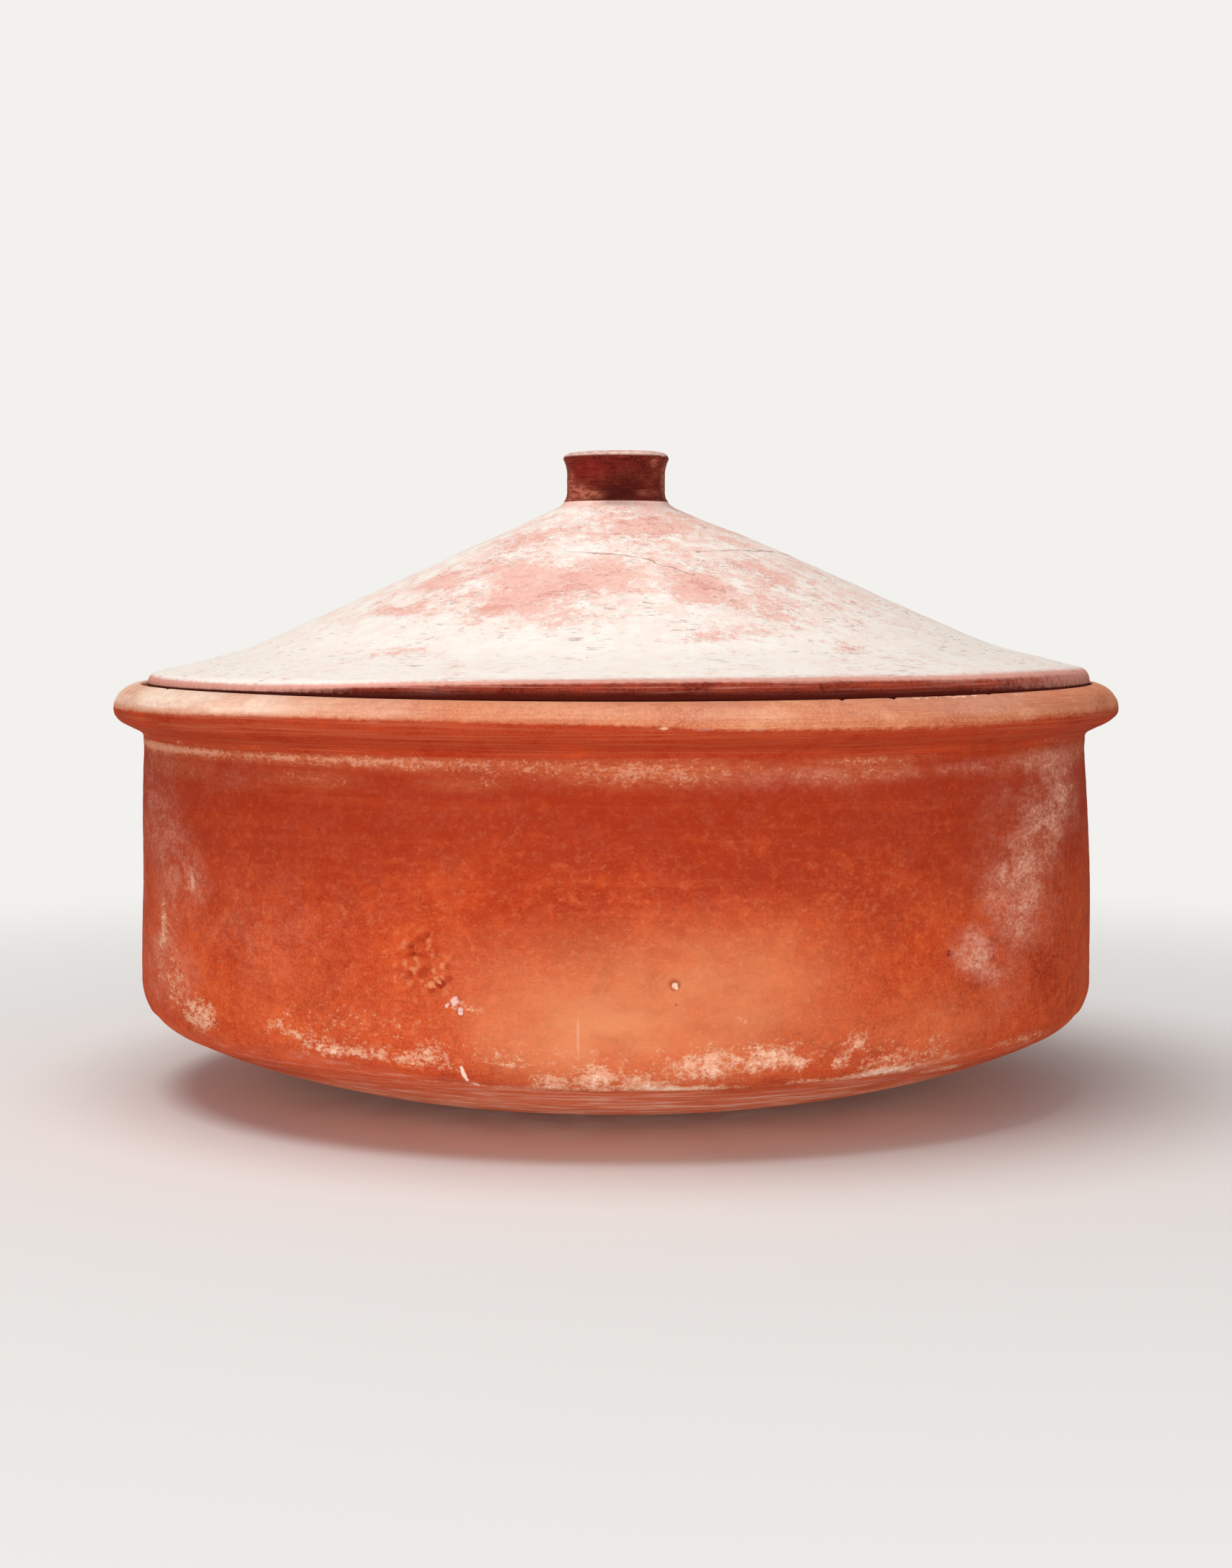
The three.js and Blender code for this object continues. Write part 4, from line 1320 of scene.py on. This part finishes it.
def lid_sections(sizes):
    """The outline of the lid cone from its hollow's top, by way of its edge, to the knob's seat."""
    tan_flare, tan_cone = math.tan(sizes.flare_slope), math.tan(sizes.cone_slope)
    rest, edge_radius = sizes.rest_height, sizes.radius
    bend = edge_radius - sizes.flare_width
    edge_height = rest + sizes.thickness / math.cos(sizes.flare_slope) - sizes.foot_width * tan_flare

    def flare_top(radius):
        return point(radius, edge_height + (edge_radius - radius) * tan_flare)

    def cone_top(radius):
        return point(radius, flare_top(bend).y + (bend - radius) * tan_cone)

    def flare_under(radius):
        return flare_top(radius) - Vector((0, sizes.thickness / math.cos(sizes.flare_slope)))

    def cone_under(radius):
        return cone_top(radius) - Vector((0, sizes.thickness / math.cos(sizes.cone_slope)))

    inner, outer, apex = bend - sizes.bend_reach, bend + sizes.bend_reach, sizes.apex_reach
    fillet = sizes.knob_foot_radius + sizes.foot_fillet
    hollow_top = cone_under(apex / 2).y
    low_round, top_round = sizes.edge_bottom_round, sizes.edge_top_round
    seat = point(sizes.knob_foot_radius, sizes.knob_foot_height)
    underside = outline(
        sizes.inner_gap,
        bowed(point(0, hollow_top), point(apex / 2, hollow_top), cone_under(apex)),
        straight(cone_under(apex), cone_under(inner)),
        bowed(cone_under(inner), flare_under(bend), flare_under(outer)),
        straight(flare_under(outer), point(edge_radius - sizes.foot_width, rest)),
        straight(point(edge_radius - sizes.foot_width, rest), point(edge_radius - low_round, rest)),
    )
    edge = outline(
        sizes.edge_gap,
        arc(point(edge_radius - low_round, rest + low_round), low_round, 0, math.pi / 2),
        straight(point(edge_radius, rest + low_round), point(edge_radius, edge_height - top_round)),
        bowed(
            point(edge_radius, edge_height - top_round), point(edge_radius, edge_height),
            flare_top(edge_radius - top_round),
        ),
    )
    top = outline(
        sizes.outer_gap,
        straight(flare_top(edge_radius - top_round), flare_top(outer)),
        bowed(flare_top(outer), flare_top(bend), cone_top(inner)),
        straight(cone_top(inner), cone_top(fillet)),
        bowed(cone_top(fillet), cone_top(sizes.knob_foot_radius), seat),
        straight(seat, point(0, sizes.knob_foot_height)),
    )
    return underside + edge[1:] + top[1:]


def lid_lean(survey, sizes):
    """How far the lid's clay is higher on the right and shifted to the right, in millimetres."""
    above_foot = eased(survey.height, sizes.rest_height / MM + 0.6, sizes.rest_height / MM + 5.5)
    share = survey.place[:, 0] / (sizes.radius / MM)
    rise = sizes.right_rise / MM * share * above_foot * (1 - eased(survey.radius, 128, 141) * 0.3)
    belly = sizes.belly / MM * np.exp(-((survey.radius - 50) / 24) ** 2) * above_foot
    away_from_knob = eased(survey.radius, 16, 40)
    return (rise + belly) * away_from_knob, sizes.right_shift / MM * away_from_knob


def crack_distance(survey):
    """Millimetres from each point to the nearest crack, seen from above."""
    nearest = np.full(len(survey.radius), float(NOWHERE_NEAR))
    here = survey.place[:, :2] + 0.5 * np.stack([survey.grain(3.0), survey.grain(3.0, 1, 5)], axis=1)
    for crack in CRACKS:
        ends = [np.array([r * math.sin(math.radians(a)), -r * math.cos(math.radians(a))]) for a, r in crack]
        for start, end in zip(ends, ends[1:]):
            run = end - start
            share = np.clip((here - start) @ run / (run @ run), 0, 1)
            nearest = np.minimum(nearest, np.linalg.norm(here - start - share[:, None] * run, axis=1))
    return nearest


def lid_bloom_amount(survey):
    """How much of the white bloom lies on the lid, before it breaks up."""
    radius = survey.radius
    amount = 0.54 + 0.30 * eased(radius, 72, 106) + 0.22 * survey.grain(24, 1, 2)
    amount -= 1.05 * dabs(survey, radius, BARE_PATCHES, core=0.0)
    return amount + dabs(survey, radius, THICK_BLOOM)


def lid_top_surface(tree, wheel, colours, clay, fine, rusty, bloom, dirty):
    """The lid's pink clay with its rusty lines, the bloom over it, and brown flecks on top."""
    place = wheel["Place"]
    spots = use(tree, grits(), Place=place, Spacing=5.0, Share=0.45, Size=0.24)["Mask"]
    specks = use(tree, grits(), Place=place, Spacing=4.6, Share=0.16, Size=0.09)["Mask"]
    bare = coats(
        tree, clay,
        (ramp(tree, fine, 0.48, 0.3, 0, 0.3), colours.lid_dark),
        (ramp(tree, rusty, 0.6, 0.74, 0, 0.3), colours.lid_edge_dust_and_highlight),
        (times(tree, spots, 0.4), colours.lid_thin),
    )
    tinted = lumps(tree, scaled(tree, place, (0.16, 0.16, 0.16)), 5.0, 0.65)
    thin = times(tree, ramp(tree, tinted, 0.4, 0.58), ramp(tree, wheel["Radius"], 112, 74, 0.3, 0.95))
    cream = mixed(tree, thin, opaque(colours.lid_bloom), opaque(colours.lid_thin))
    veiled = mixed(tree, times(tree, bloom["Veil"], 0.42), bare, cream)
    bloomed = mixed(tree, times(tree, bloom["Mask"], 0.88), veiled, cream)
    return coats(
        tree, bloomed,
        (times(tree, dirty, 0.5), colours.dirt),
        (times(tree, specks, 0.35), colours.dirt),
    )


def lid_edge_surface(tree, wheel, colours, top, rusty):
    """The lid's edge below the ragged end of the bloom: ringed by the wheel with pale rings that are partly a
    painted highlight, and with painted shade towards its foot.
    """
    height = wheel["Height"]
    rings = wheel_lines(tree, wheel["Turn"], height, 0.6, 24.0)
    clay = clay_of(tree, wheel["Place"], colours.shaded_rim_under, colours.lid_edge_clay_and_shade, colours.knob_mid, 9.0)
    edge = coats(
        tree, clay["Colour"],
        # Pale rings, partly a painted highlight along the edge's round.
        (ramp(tree, rings, 0.52, 0.66, 0, 0.35), colours.lid_edge_dust_and_highlight),
        # Painted shade: the edge darkens towards its foot.
        (ramp(tree, height, 123.4, 121.0, 0, 0.9), colours.knob_dark),
    )
    frayed = centred(tree, rusty, 0.8)
    # Where the bloom ends, a pink band that is partly dust and partly a painted highlight on the edge's upper
    # round.
    ended = ramp(tree, sum_of(tree, layer(tree, "edge"), frayed), 0.1, 0.9)
    lowered = ramp(tree, sum_of(tree, layer(tree, "low"), frayed), 0.1, 0.9)
    return mixed(tree, lowered, coats(tree, top, (ended, colours.lid_edge_dust_and_highlight)), edge)


def lid_material(colours):
    made, tree, shader, wheel = new_material("bloomed lid clay")
    place, turn, radius = wheel["Place"], wheel["Turn"], wheel["Radius"]
    fine = wheel_lines(tree, turn, radius, 0.8, 16.0)
    dashes = wheel_lines(tree, turn, radius, 1.0, 4.2)
    strewn = lumps(tree, scaled(tree, place, (0.06, 0.06, 0.06)), 4.0, 0.6)
    rusty = lumps(tree, scaled(tree, place, (0.5, 0.5, 0.5)), 5.0, 0.7)
    dirty = times(tree, ramp(tree, dashes, 0.59, 0.68), ramp(tree, strewn, 0.4, 0.6, 0.1, 1.0))
    bare = clay_of(tree, place, colours.lid_light, colours.lid_mid, colours.lid_dark, 9.0)
    bloom = use(
        tree, white_bloom(), Place=place, Amount=layer(tree, "bloom"),
        Patch_Size=8.0, Flake_Size=2.8, Speck_Size=0.8, Softness=0.32,
    )
    top = lid_top_surface(tree, wheel, colours, bare["Colour"], fine, rusty, bloom, dirty)
    outer = coats(
        tree, lid_edge_surface(tree, wheel, colours, top, rusty),
        (layer(tree, "collar"), colours.lid_mid),
        (layer(tree, "crack"), colours.dirt),
        # Painted shade in the gap under the edge and under the knob's foot.
        (layer(tree, "soil_and_shade"), colours.soil_and_shade),
    )
    below = coats(
        tree, clay_of(tree, place, colours.worn_and_bounce_lit, colours.lid_under, colours.wall_mid, 34.0)["Colour"],
        (ramp(tree, fine, 0.5, 0.3, 0, 0.35), colours.wall_dark),
    )
    whole = mixed(tree, layer(tree, "under"), outer, below)
    relief = sum_of(tree, times(tree, bare["Grain"], 0.5), times(tree, fine, 0.3))
    bloomed = sum_of(tree, relief, times(tree, bloom["Mask"], 0.6))
    bumps = less(tree, bloomed, times(tree, dirty, 0.6))
    give(tree, shader, whole, ramp(tree, bloom["Mask"], 0, 1, 0.8, 0.95), bumps, 0.22)
    return made


def lid_relief(survey, sizes, above):
    """How far the hand moved the lid's clay out of true, on top and underneath."""
    radius, rim = survey.radius, sizes.radius / MM
    lines = survey.lines(radius, LID_LINES)
    dents = sum(depth * survey.grain(size, 1, offset) for depth, size, offset in LID_DENTS)
    outer = (lines + dents - LID_SUNK) * eased(radius, 18, 26) * (1 - 0.7 * eased(radius, rim - 5, rim - 1))
    ridges = survey.finger_ridges(radius, sizes.finger_ridge / MM, sizes.finger_pitch / MM)
    inner = ridges * eased(radius, rim - 8, rim - 16) * eased(radius, 2, 12)
    return np.where(above, outer, inner)


def paint_lid(lid, survey, sizes, above, crack):
    """Lays down what each point of the lid wears, and where shade is painted on it."""
    height, radius, up = survey.height, survey.radius, survey.normal[:, 2]
    rim, rest, knob_foot = sizes.radius / MM, sizes.rest_height / MM, sizes.knob_foot_radius / MM
    spill = np.interp(survey.angle, *zip(*SPILL))
    near_edge = eased(radius, rim - 10, rim - 7)
    left = eased(survey.turned(-34), 12, -12) * eased(survey.turned(-34), -130, -80)
    right = eased(survey.turned(26), 0, 50) * eased(survey.turned(26), 200, 120)
    low = eased(height, spill + 0.3, spill - 1.3) * (1 - 0.75 * left - 0.6 * right)
    # Painted shade in the gap under the lid's edge, lighter at the left.
    gap_shade = eased(radius, rim - 1.8, rim - 1.2) * eased(height, rest + 2, rest + 1) * (1 - 0.6 * left)
    in_front = eased(np.abs(survey.turned(4)), 34, 6) * (height > sizes.knob_foot_height / MM - 4)
    # Painted shade under the knob's foot at the front.
    shaded = eased(radius, knob_foot + 2.8, knob_foot + 0.2) * in_front
    collar = eased(radius, knob_foot + 5.7, knob_foot + 0.4) * eased(up, -0.2, 0.2)
    paint(lid, "bloom", np.where(above, lid_bloom_amount(survey), 0))
    paint(lid, "edge", near_edge * eased(height, spill + 1.7, spill - 0.5))
    paint(lid, "low", near_edge * np.maximum(low, eased(height, rest + 2.2, rest + 1.4)))
    paint(lid, "under", 1 - above.astype(float))
    paint(lid, "soil_and_shade", np.maximum(0.9 * gap_shade, 0.45 * shaded))
    paint(lid, "collar", 0.6 * collar)
    paint(lid, "crack", eased(crack, 0.5, 0.1) * (0.7 + 0.9 * survey.grain(5.0)))


class PotThrowLid(bpy.types.Operator):
    """Throw the lid cone, with its flared edge, its bare patches and its crack"""
    bl_idname = "pot.throw_lid"
    bl_label = "Throw Lid"

    def execute(self, context):
        sizes = context.scene.pot_lid_sizes
        lid = throw("lid", lid_sections(sizes), sizes.steps)
        faces = Survey(lid, faces=True)
        cracked = (faces.radius > CRACKED_FROM) & (faces.radius < CRACKED_TO) & (faces.normal[:, 2] > 0.2)
        refine(lid, cracked & (crack_distance(faces) < 1.4), 3)
        survey = Survey(lid)
        radius = survey.radius
        above = (survey.normal[:, 2] > -0.6) | (radius > sizes.radius / MM - 1.3)
        on_seat = radius < sizes.knob_foot_radius / MM + 3.2
        crack = np.where(above & (radius < CRACKED_TO), crack_distance(survey), NOWHERE_NEAR)
        rise, shift = lid_lean(survey, sizes)
        opened = eased(crack, CRACK_BRINK, CRACK_BOTTOM)
        press(lid, lid_relief(survey, sizes, above) - CRACK_DEPTH * opened)
        press(lid, np.where(on_seat, 0, rise), "Z")
        press(lid, np.where(on_seat, 0, shift), "X")
        paint_lid(lid, survey, sizes, above, crack)
        material = lid_material(context.scene.pot_colours)
        finish_piece(lid, "lid", material, "lid_cone")
        return {"FINISHED"}


# The knob

KNOB_CHIPS = [
    Mark(52, 186.6, 1.4, 1.8, 0.4), Mark(64, 188.8, 1.6, 0.8, 0.4), Mark(-140, 188.4, 2.4, 1.0, 0.4),
]
# Rubbed patches; the tall marks at 78 and -84 degrees are painted rim light along the knob's sides.
KNOB_RUBBED_AND_RIM_LIT = [
    Mark(-46, 177.6, 7, 3.6, 1.0), Mark(-66, 179, 4, 8.0, 0.8), Mark(-28, 176.8, 6, 2.2, 0.6),
    Mark(47, 186.4, 2, 2.4, 0.9), Mark(42, 177.4, 7, 1.6, 0.5), Mark(78, 181, 5, 10.0, 1.0),
    Mark(-84, 182, 4, 10.0, 0.8), Mark(150, 180, 9, 5.0, 0.6), Mark(-120, 184, 8, 3.0, 0.5),
]
# Darker patches low on the knob's front.
KNOB_DARKENED = [Mark(6, 177.0, 15, 6.0, 0.9), Mark(14, 182, 12, 7.0, 0.4)]
KNOB_RED = [Mark(-36, 184.5, 12, 5.0, 0.6), Mark(-66, 182, 7, 8.0, 0.5), Mark(4, 185.5, 9, 3.0, 0.25)]

# Lines on the knob's side, which are sunk by a little and wander in from true, and how uneven its crest is
KNOB_LINES = [Lines(0.07, 0.8, 0.8, 2), Lines(0.05, 2.2, 1.0, 7)]
KNOB_SUNK = 0.06
KNOB_WANDER = 0.05
KNOB_CREST = 0.16


def knob_outline(sizes):
    foot, top = sizes.knob_foot_height, sizes.knob_top_height
    head_height = top - sizes.knob_head_round
    waist_low = point(sizes.knob_waist_radius, foot + sizes.knob_foot_flare)
    waist_high = point(sizes.knob_waist_radius, head_height - sizes.knob_head_flare)
    head = point(sizes.knob_head_radius, head_height)
    crest = point(sizes.knob_head_radius - sizes.knob_crest_reach, top)
    dish = top - sizes.knob_dish
    start = point(sizes.knob_foot_radius, foot)
    return outline(
        sizes.knob_gap,
        straight(point(0, foot), start),
        bowed(start, point(sizes.knob_waist_radius, foot + sizes.knob_foot_flare / 2), waist_low),
        straight(waist_low, waist_high),
        bowed(waist_high, point(sizes.knob_waist_radius, head_height - sizes.knob_head_flare / 2), head),
        bowed(head, point(sizes.knob_head_radius, top), crest),
        swept(crest, point(crest.x / 2, top), point(crest.x / 2, dish), point(0, dish)),
    )


def knob_material(colours):
    made, tree, shader, wheel = new_material("dark knob clay")
    place = wheel["Place"]
    fine = wheel_lines(tree, wheel["Turn"], wheel["Height"], 0.55, 30.0)
    clay = clay_of(tree, place, colours.knob_light, colours.knob_mid, colours.knob_dark, 12.0)
    wear = lumps(tree, scaled(tree, place, (0.35, 0.35, 1.5)), 5.0, 0.65)
    wisps = lumps(tree, scaled(tree, place, (0.5, 0.5, 0.9)), 5.0, 0.65)
    # Rubbed patches, and painted rim light along the knob's sides.
    rubbed = times(tree, layer(tree, "rubbed"), ramp(tree, wear, 0.36, 0.6, 0.1, 1.0))
    surface = coats(
        tree, clay["Colour"],
        (layer(tree, "red"), colours.knob_red),
        (layer(tree, "darkened"), colours.knob_dark),
        (ramp(tree, fine, 0.46, 0.32, 0, 0.7), colours.knob_dark),
        (ramp(tree, fine, 0.54, 0.68, 0, 0.24), colours.knob_light),
        (times(tree, rubbed, 0.7), colours.knob_rubbed_and_rim_lit),
        # Dust, and the painted highlight along the knob's top edge.
        (times(tree, layer(tree, "dust"), ramp(tree, wisps, 0.3, 0.6, 0.55, 0.95)), colours.knob_dust_and_highlight),
    )
    relief = sum_of(tree, times(tree, clay["Grain"], 0.4), times(tree, fine, 0.8))
    give(tree, shader, surface, ramp(tree, clay["Grain"], 0.3, 0.7, 0.6, 0.82), relief, 0.22)
    return made


class PotLuteKnob(bpy.types.Operator):
    """Lute the knob to the middle of the lid, with its waist, its dish and its chips"""
    bl_idname = "pot.lute_knob"
    bl_label = "Lute Knob"

    def execute(self, context):
        sizes = context.scene.pot_lid_sizes
        knob = throw("knob", knob_outline(sizes), sizes.knob_steps)
        survey = Survey(knob)
        radius, height = survey.radius, survey.height
        foot, top = sizes.knob_foot_height / MM, sizes.knob_top_height / MM
        free = eased(height, foot + 0.05, foot + 1.2)
        lines = survey.lines(height, KNOB_LINES)
        wander = -KNOB_WANDER * (1 + survey.rings(height, 7, 1.4, 4))
        chips = deepest(survey, height, KNOB_CHIPS, 0.3 * survey.grain(0.9), 0.55, 1)
        side = eased(radius, 9, 13)
        press(knob, ((lines + wander - KNOB_SUNK) * side - chips * side) * free)
        crest = KNOB_CREST * survey.rings(height, 30, 1.0, 1)
        press(knob, np.minimum(crest - KNOB_SUNK, 0) * eased(height, top - 4, top), "Z")
        # Rubbed patches and chips, and painted rim light along the knob's sides.
        paint(knob, "rubbed", dabs(survey, height, KNOB_RUBBED_AND_RIM_LIT) + chips)
        paint(knob, "darkened", dabs(survey, height, KNOB_DARKENED, core=0.0))
        paint(knob, "red", dabs(survey, height, KNOB_RED, core=0.0))
        # Dust and a painted highlight along the knob's rounded top edge, and dust in its dish.
        lip = eased(height, top - 1.75, top - 1.1)
        paint(knob, "dust", np.maximum(lip * (1 - 0.45 * eased(radius, 12, 8)), 0.5 * eased(radius, 11, 8)))
        material = knob_material(context.scene.pot_colours)
        finish_piece(knob, "lid", material, "lid_knob")
        return {"FINISHED"}


# Stones that show in the wall: their angle, height, width, rise, and how far their middles are sunk
GRITS = [
    Mark(-16.9, 42.7, 1.25, 1.3, 0.95), Mark(-16.2, 40.1, 0.8, 0.9, 0.55),
    Mark(-17.7, 41.4, 0.6, 0.5, 0.4),
]
CRUMBS = [Mark(-19.5, 46.6, 1.2, 1.0, 0.7), Mark(-18.6, 47.6, 0.6, 0.6, 0.4)]
PEBBLE = Mark(6.1, 47.3, 0.95, 0.85, 0.5)
STONE_DEPTH = 0.8


def seat_stone(name, mark, wall):
    """Shapes one stone from a ball and sits it in its hole in the wall."""
    angle = math.radians(mark.angle)
    depth = wall / MM - mark.strength
    place = (depth * math.sin(angle) * MM, -depth * math.cos(angle) * MM, mark.level * MM)
    bpy.ops.object.select_all(action="DESELECT")
    bpy.ops.mesh.primitive_ico_sphere_add(subdivisions=4, radius=MM, location=place)
    stone = bpy.context.object
    stone.name = stone.data.name = name
    bpy.ops.object.mode_set(mode="EDIT")
    bpy.ops.mesh.select_all(action="SELECT")
    bpy.ops.transform.resize(value=(mark.width, STONE_DEPTH, mark.rise), center_override=place)
    bpy.ops.object.mode_set(mode="OBJECT")
    bpy.ops.object.transform_apply(location=True, rotation=True, scale=True)
    survey = Survey(stone)
    press(stone, 0.5 * survey.grain(0.9) + 0.2 * survey.grain(0.4))
    return stone


def stone_material(name, light, dark):
    made, tree, shader, wheel = new_material(name)
    clay = clay_of(tree, scaled(tree, wheel["Place"], (3, 3, 3)), light, light, dark, 4.0)
    give(tree, shader, clay["Colour"], ramp(tree, clay["Grain"], 0.3, 0.7, 0.7, 0.9), clay["Grain"], 0.1)
    return made


class PotSeatStones(bpy.types.Operator):
    """Seat the white grits and the pebble that show in the wall"""
    bl_idname = "pot.seat_stones"
    bl_label = "Seat Stones"

    def execute(self, context):
        colours = context.scene.pot_colours
        wall = context.scene.pot_bowl_sizes.wall_radius
        white = stone_material("lime grit", colours.lime, colours.haze)
        brown = stone_material("pebble stone", colours.pebble, colours.worn_and_bounce_lit)
        orange = stone_material("clay crumb", colours.worn_and_bounce_lit, colours.wall_light)
        stones = [(f"lime_grit_{i + 1}", mark, white) for i, mark in enumerate(GRITS)]
        stones += [(f"clay_crumb_{i + 1}", mark, orange) for i, mark in enumerate(CRUMBS)]
        for name, mark, material in stones + [("wall_pebble", PEBBLE, brown)]:
            finish_piece(seat_stone(name, mark, wall), "pot", material, sharp=50)
        return {"FINISHED"}


# The studio

class StageSettings(bpy.types.PropertyGroup):
    """Sizes and strengths of the studio"""
    camera_distance: length("Camera distance", "From the pot's axis to the camera", 855.3 * MM)
    camera_height: length("Camera height", "Height of the camera", 145.5 * MM)
    camera_pitch: slope("Camera pitch", "How far the camera looks down", 3.733)
    camera_lens: bpy.props.FloatProperty(
        name="Lens", description="Focal length for a 36 mm sensor", default=64.71, unit="CAMERA",
    )
    floor_size: length("Floor size", "Side of the floor", 14)
    overhead_power: power("Overhead power", "Power of the soft light above", 10.8)
    front_power: power("Front power", "Power of the soft light in front", 15)
    sky_strength: bpy.props.FloatProperty(
        name="Sky strength", description="Even light from all round", default=0.34, min=0,
    )
    backdrop: colour("Backdrop", "Colour of the floor and of what is behind it", 243, 241, 238)


SETTINGS["pot_stage"] = StageSettings

# Where a soft light hangs, the point that it faces, and the width and depth of its ellipse, in metres
Lamp = namedtuple("Lamp", "name place target width depth")
OVERHEAD = Lamp("overhead_light", (-0.25, -0.15, 1.35), (0, 0, 0.1), 1.1, 1.1)
FRONT = Lamp("front_light", (-0.1, -1.6, 0.08), (0, 0, 0.04), 1.8, 0.14)
SENSOR_WIDTH = 36
# How far from the pot the paper starts to turn into the backdrop, and how far it has done so, in metres
PAPER_FADES_FROM, PAPER_FADED = 0.2, 0.62


def seen_directly(tree):
    """1 for rays from the camera, and for those that gloss or glass sends on."""
    path = add(tree, "ShaderNodeLightPath")
    gloss = greater_of(tree, path.outputs["Is Camera Ray"], path.outputs["Is Glossy Ray"])
    return greater_of(tree, gloss, path.outputs["Is Transmission Ray"])


def floor_material(backdrop):
    """Pale paper that keeps the pot's shadow, and turns into the plain backdrop further out."""
    made = bpy.data.materials.new("studio paper")
    made.use_nodes = True
    tree = made.node_tree
    shader = tree.nodes["Principled BSDF"]
    shader.inputs["Base Color"].default_value = opaque(backdrop)
    shader.inputs["Roughness"].default_value = 0.9
    shader.inputs["Specular IOR Level"].default_value = 0.0
    plain = add(tree, "ShaderNodeEmission", {"Color": opaque(backdrop), "Strength": 1.0})
    position = add(tree, "ShaderNodeTexCoord").outputs["Object"]
    far = ramp(tree, length_of(tree, position), PAPER_FADES_FROM, PAPER_FADED)
    fade = times(tree, far, seen_directly(tree))
    mix = add(tree, "ShaderNodeMixShader", {0: fade, 1: shader.outputs[0], 2: plain.outputs[0]})
    tree.links.new(mix.outputs[0], tree.nodes["Material Output"].inputs["Surface"])
    return made


def light_world(world, backdrop, strength):
    world.use_nodes = True
    tree = world.node_tree
    tree.nodes.clear()
    sky = add(tree, "ShaderNodeBackground", {"Color": (1, 1, 1, 1), "Strength": strength})
    plain = add(tree, "ShaderNodeBackground", {"Color": opaque(backdrop), "Strength": 1.0})
    mix = add(tree, "ShaderNodeMixShader", {0: seen_directly(tree), 1: sky.outputs[0], 2: plain.outputs[0]})
    output = tree.nodes.new("ShaderNodeOutputWorld")
    tree.links.new(mix.outputs[0], output.inputs["Surface"])


def soft_light(lamp, energy):
    bpy.ops.object.light_add(type="AREA", location=lamp.place)
    light = bpy.context.object
    light.name = lamp.name
    light.data.shape = "ELLIPSE"
    light.data.size = lamp.width
    light.data.size_y = lamp.depth
    light.data.energy = energy
    light.rotation_euler = (Vector(lamp.target) - Vector(lamp.place)).to_track_quat("-Z", "Y").to_euler()


class PotLightStage(bpy.types.Operator):
    """Set up the camera, the paper floor and the soft lights"""
    bl_idname = "pot.light_stage"
    bl_label = "Light Stage"

    def execute(self, context):
        stage = context.scene.pot_stage
        bpy.ops.object.select_all(action="DESELECT")
        bpy.ops.object.camera_add(
            location=(0, -stage.camera_distance, stage.camera_height),
            rotation=(math.pi / 2 - stage.camera_pitch, 0, 0),
        )
        camera = context.object
        camera.data.lens = stage.camera_lens
        camera.data.sensor_width = SENSOR_WIDTH
        context.scene.camera = camera
        bpy.ops.mesh.primitive_plane_add(size=stage.floor_size)
        floor = context.object
        floor.name = "studio_floor"
        floor.data.materials.append(floor_material(stage.backdrop))
        soft_light(OVERHEAD, stage.overhead_power)
        soft_light(FRONT, stage.front_power)
        world = context.scene.world or bpy.data.worlds.new("studio")
        context.scene.world = world
        light_world(world, stage.backdrop, stage.sky_strength)
        context.scene.view_settings.view_transform = "Standard"
        return {"FINISHED"}


class PotPanel(bpy.types.Panel):
    """Lists the steps that make the pot, and its sizes and colours"""
    bl_idname = "VIEW3D_PT_cooking_pot"
    bl_label = "Cooking Pot"
    bl_space_type = "VIEW_3D"
    bl_region_type = "UI"
    bl_category = "Cooking Pot"

    def draw(self, context):
        for operator in OPERATORS:
            self.layout.operator(operator.bl_idname)
        for name, kind in SETTINGS.items():
            box = self.layout.box()
            box.label(text=kind.__doc__)
            for field in kind.__annotations__:
                box.prop(getattr(context.scene, name), field)


OPERATORS = (PotLightStage, PotThrowBowl, PotLuteRim, PotThrowLid, PotLuteKnob, PotSeatStones)


def register():
    for kind in (*SETTINGS.values(), *OPERATORS, PotPanel):
        bpy.utils.register_class(kind)
    for name, kind in SETTINGS.items():
        setattr(bpy.types.Scene, name, bpy.props.PointerProperty(type=kind))


def unregister():
    for name in SETTINGS:
        delattr(bpy.types.Scene, name)
    for kind in reversed((*SETTINGS.values(), *OPERATORS, PotPanel)):
        bpy.utils.unregister_class(kind)


def main():
    """Makes the pot in its studio."""
    register()
    bpy.ops.pot.light_stage()
    bpy.ops.pot.throw_bowl()
    bpy.ops.pot.lute_rim()
    bpy.ops.pot.throw_lid()
    bpy.ops.pot.lute_knob()
    bpy.ops.pot.seat_stones()


if __name__ == "__main__":
    main()
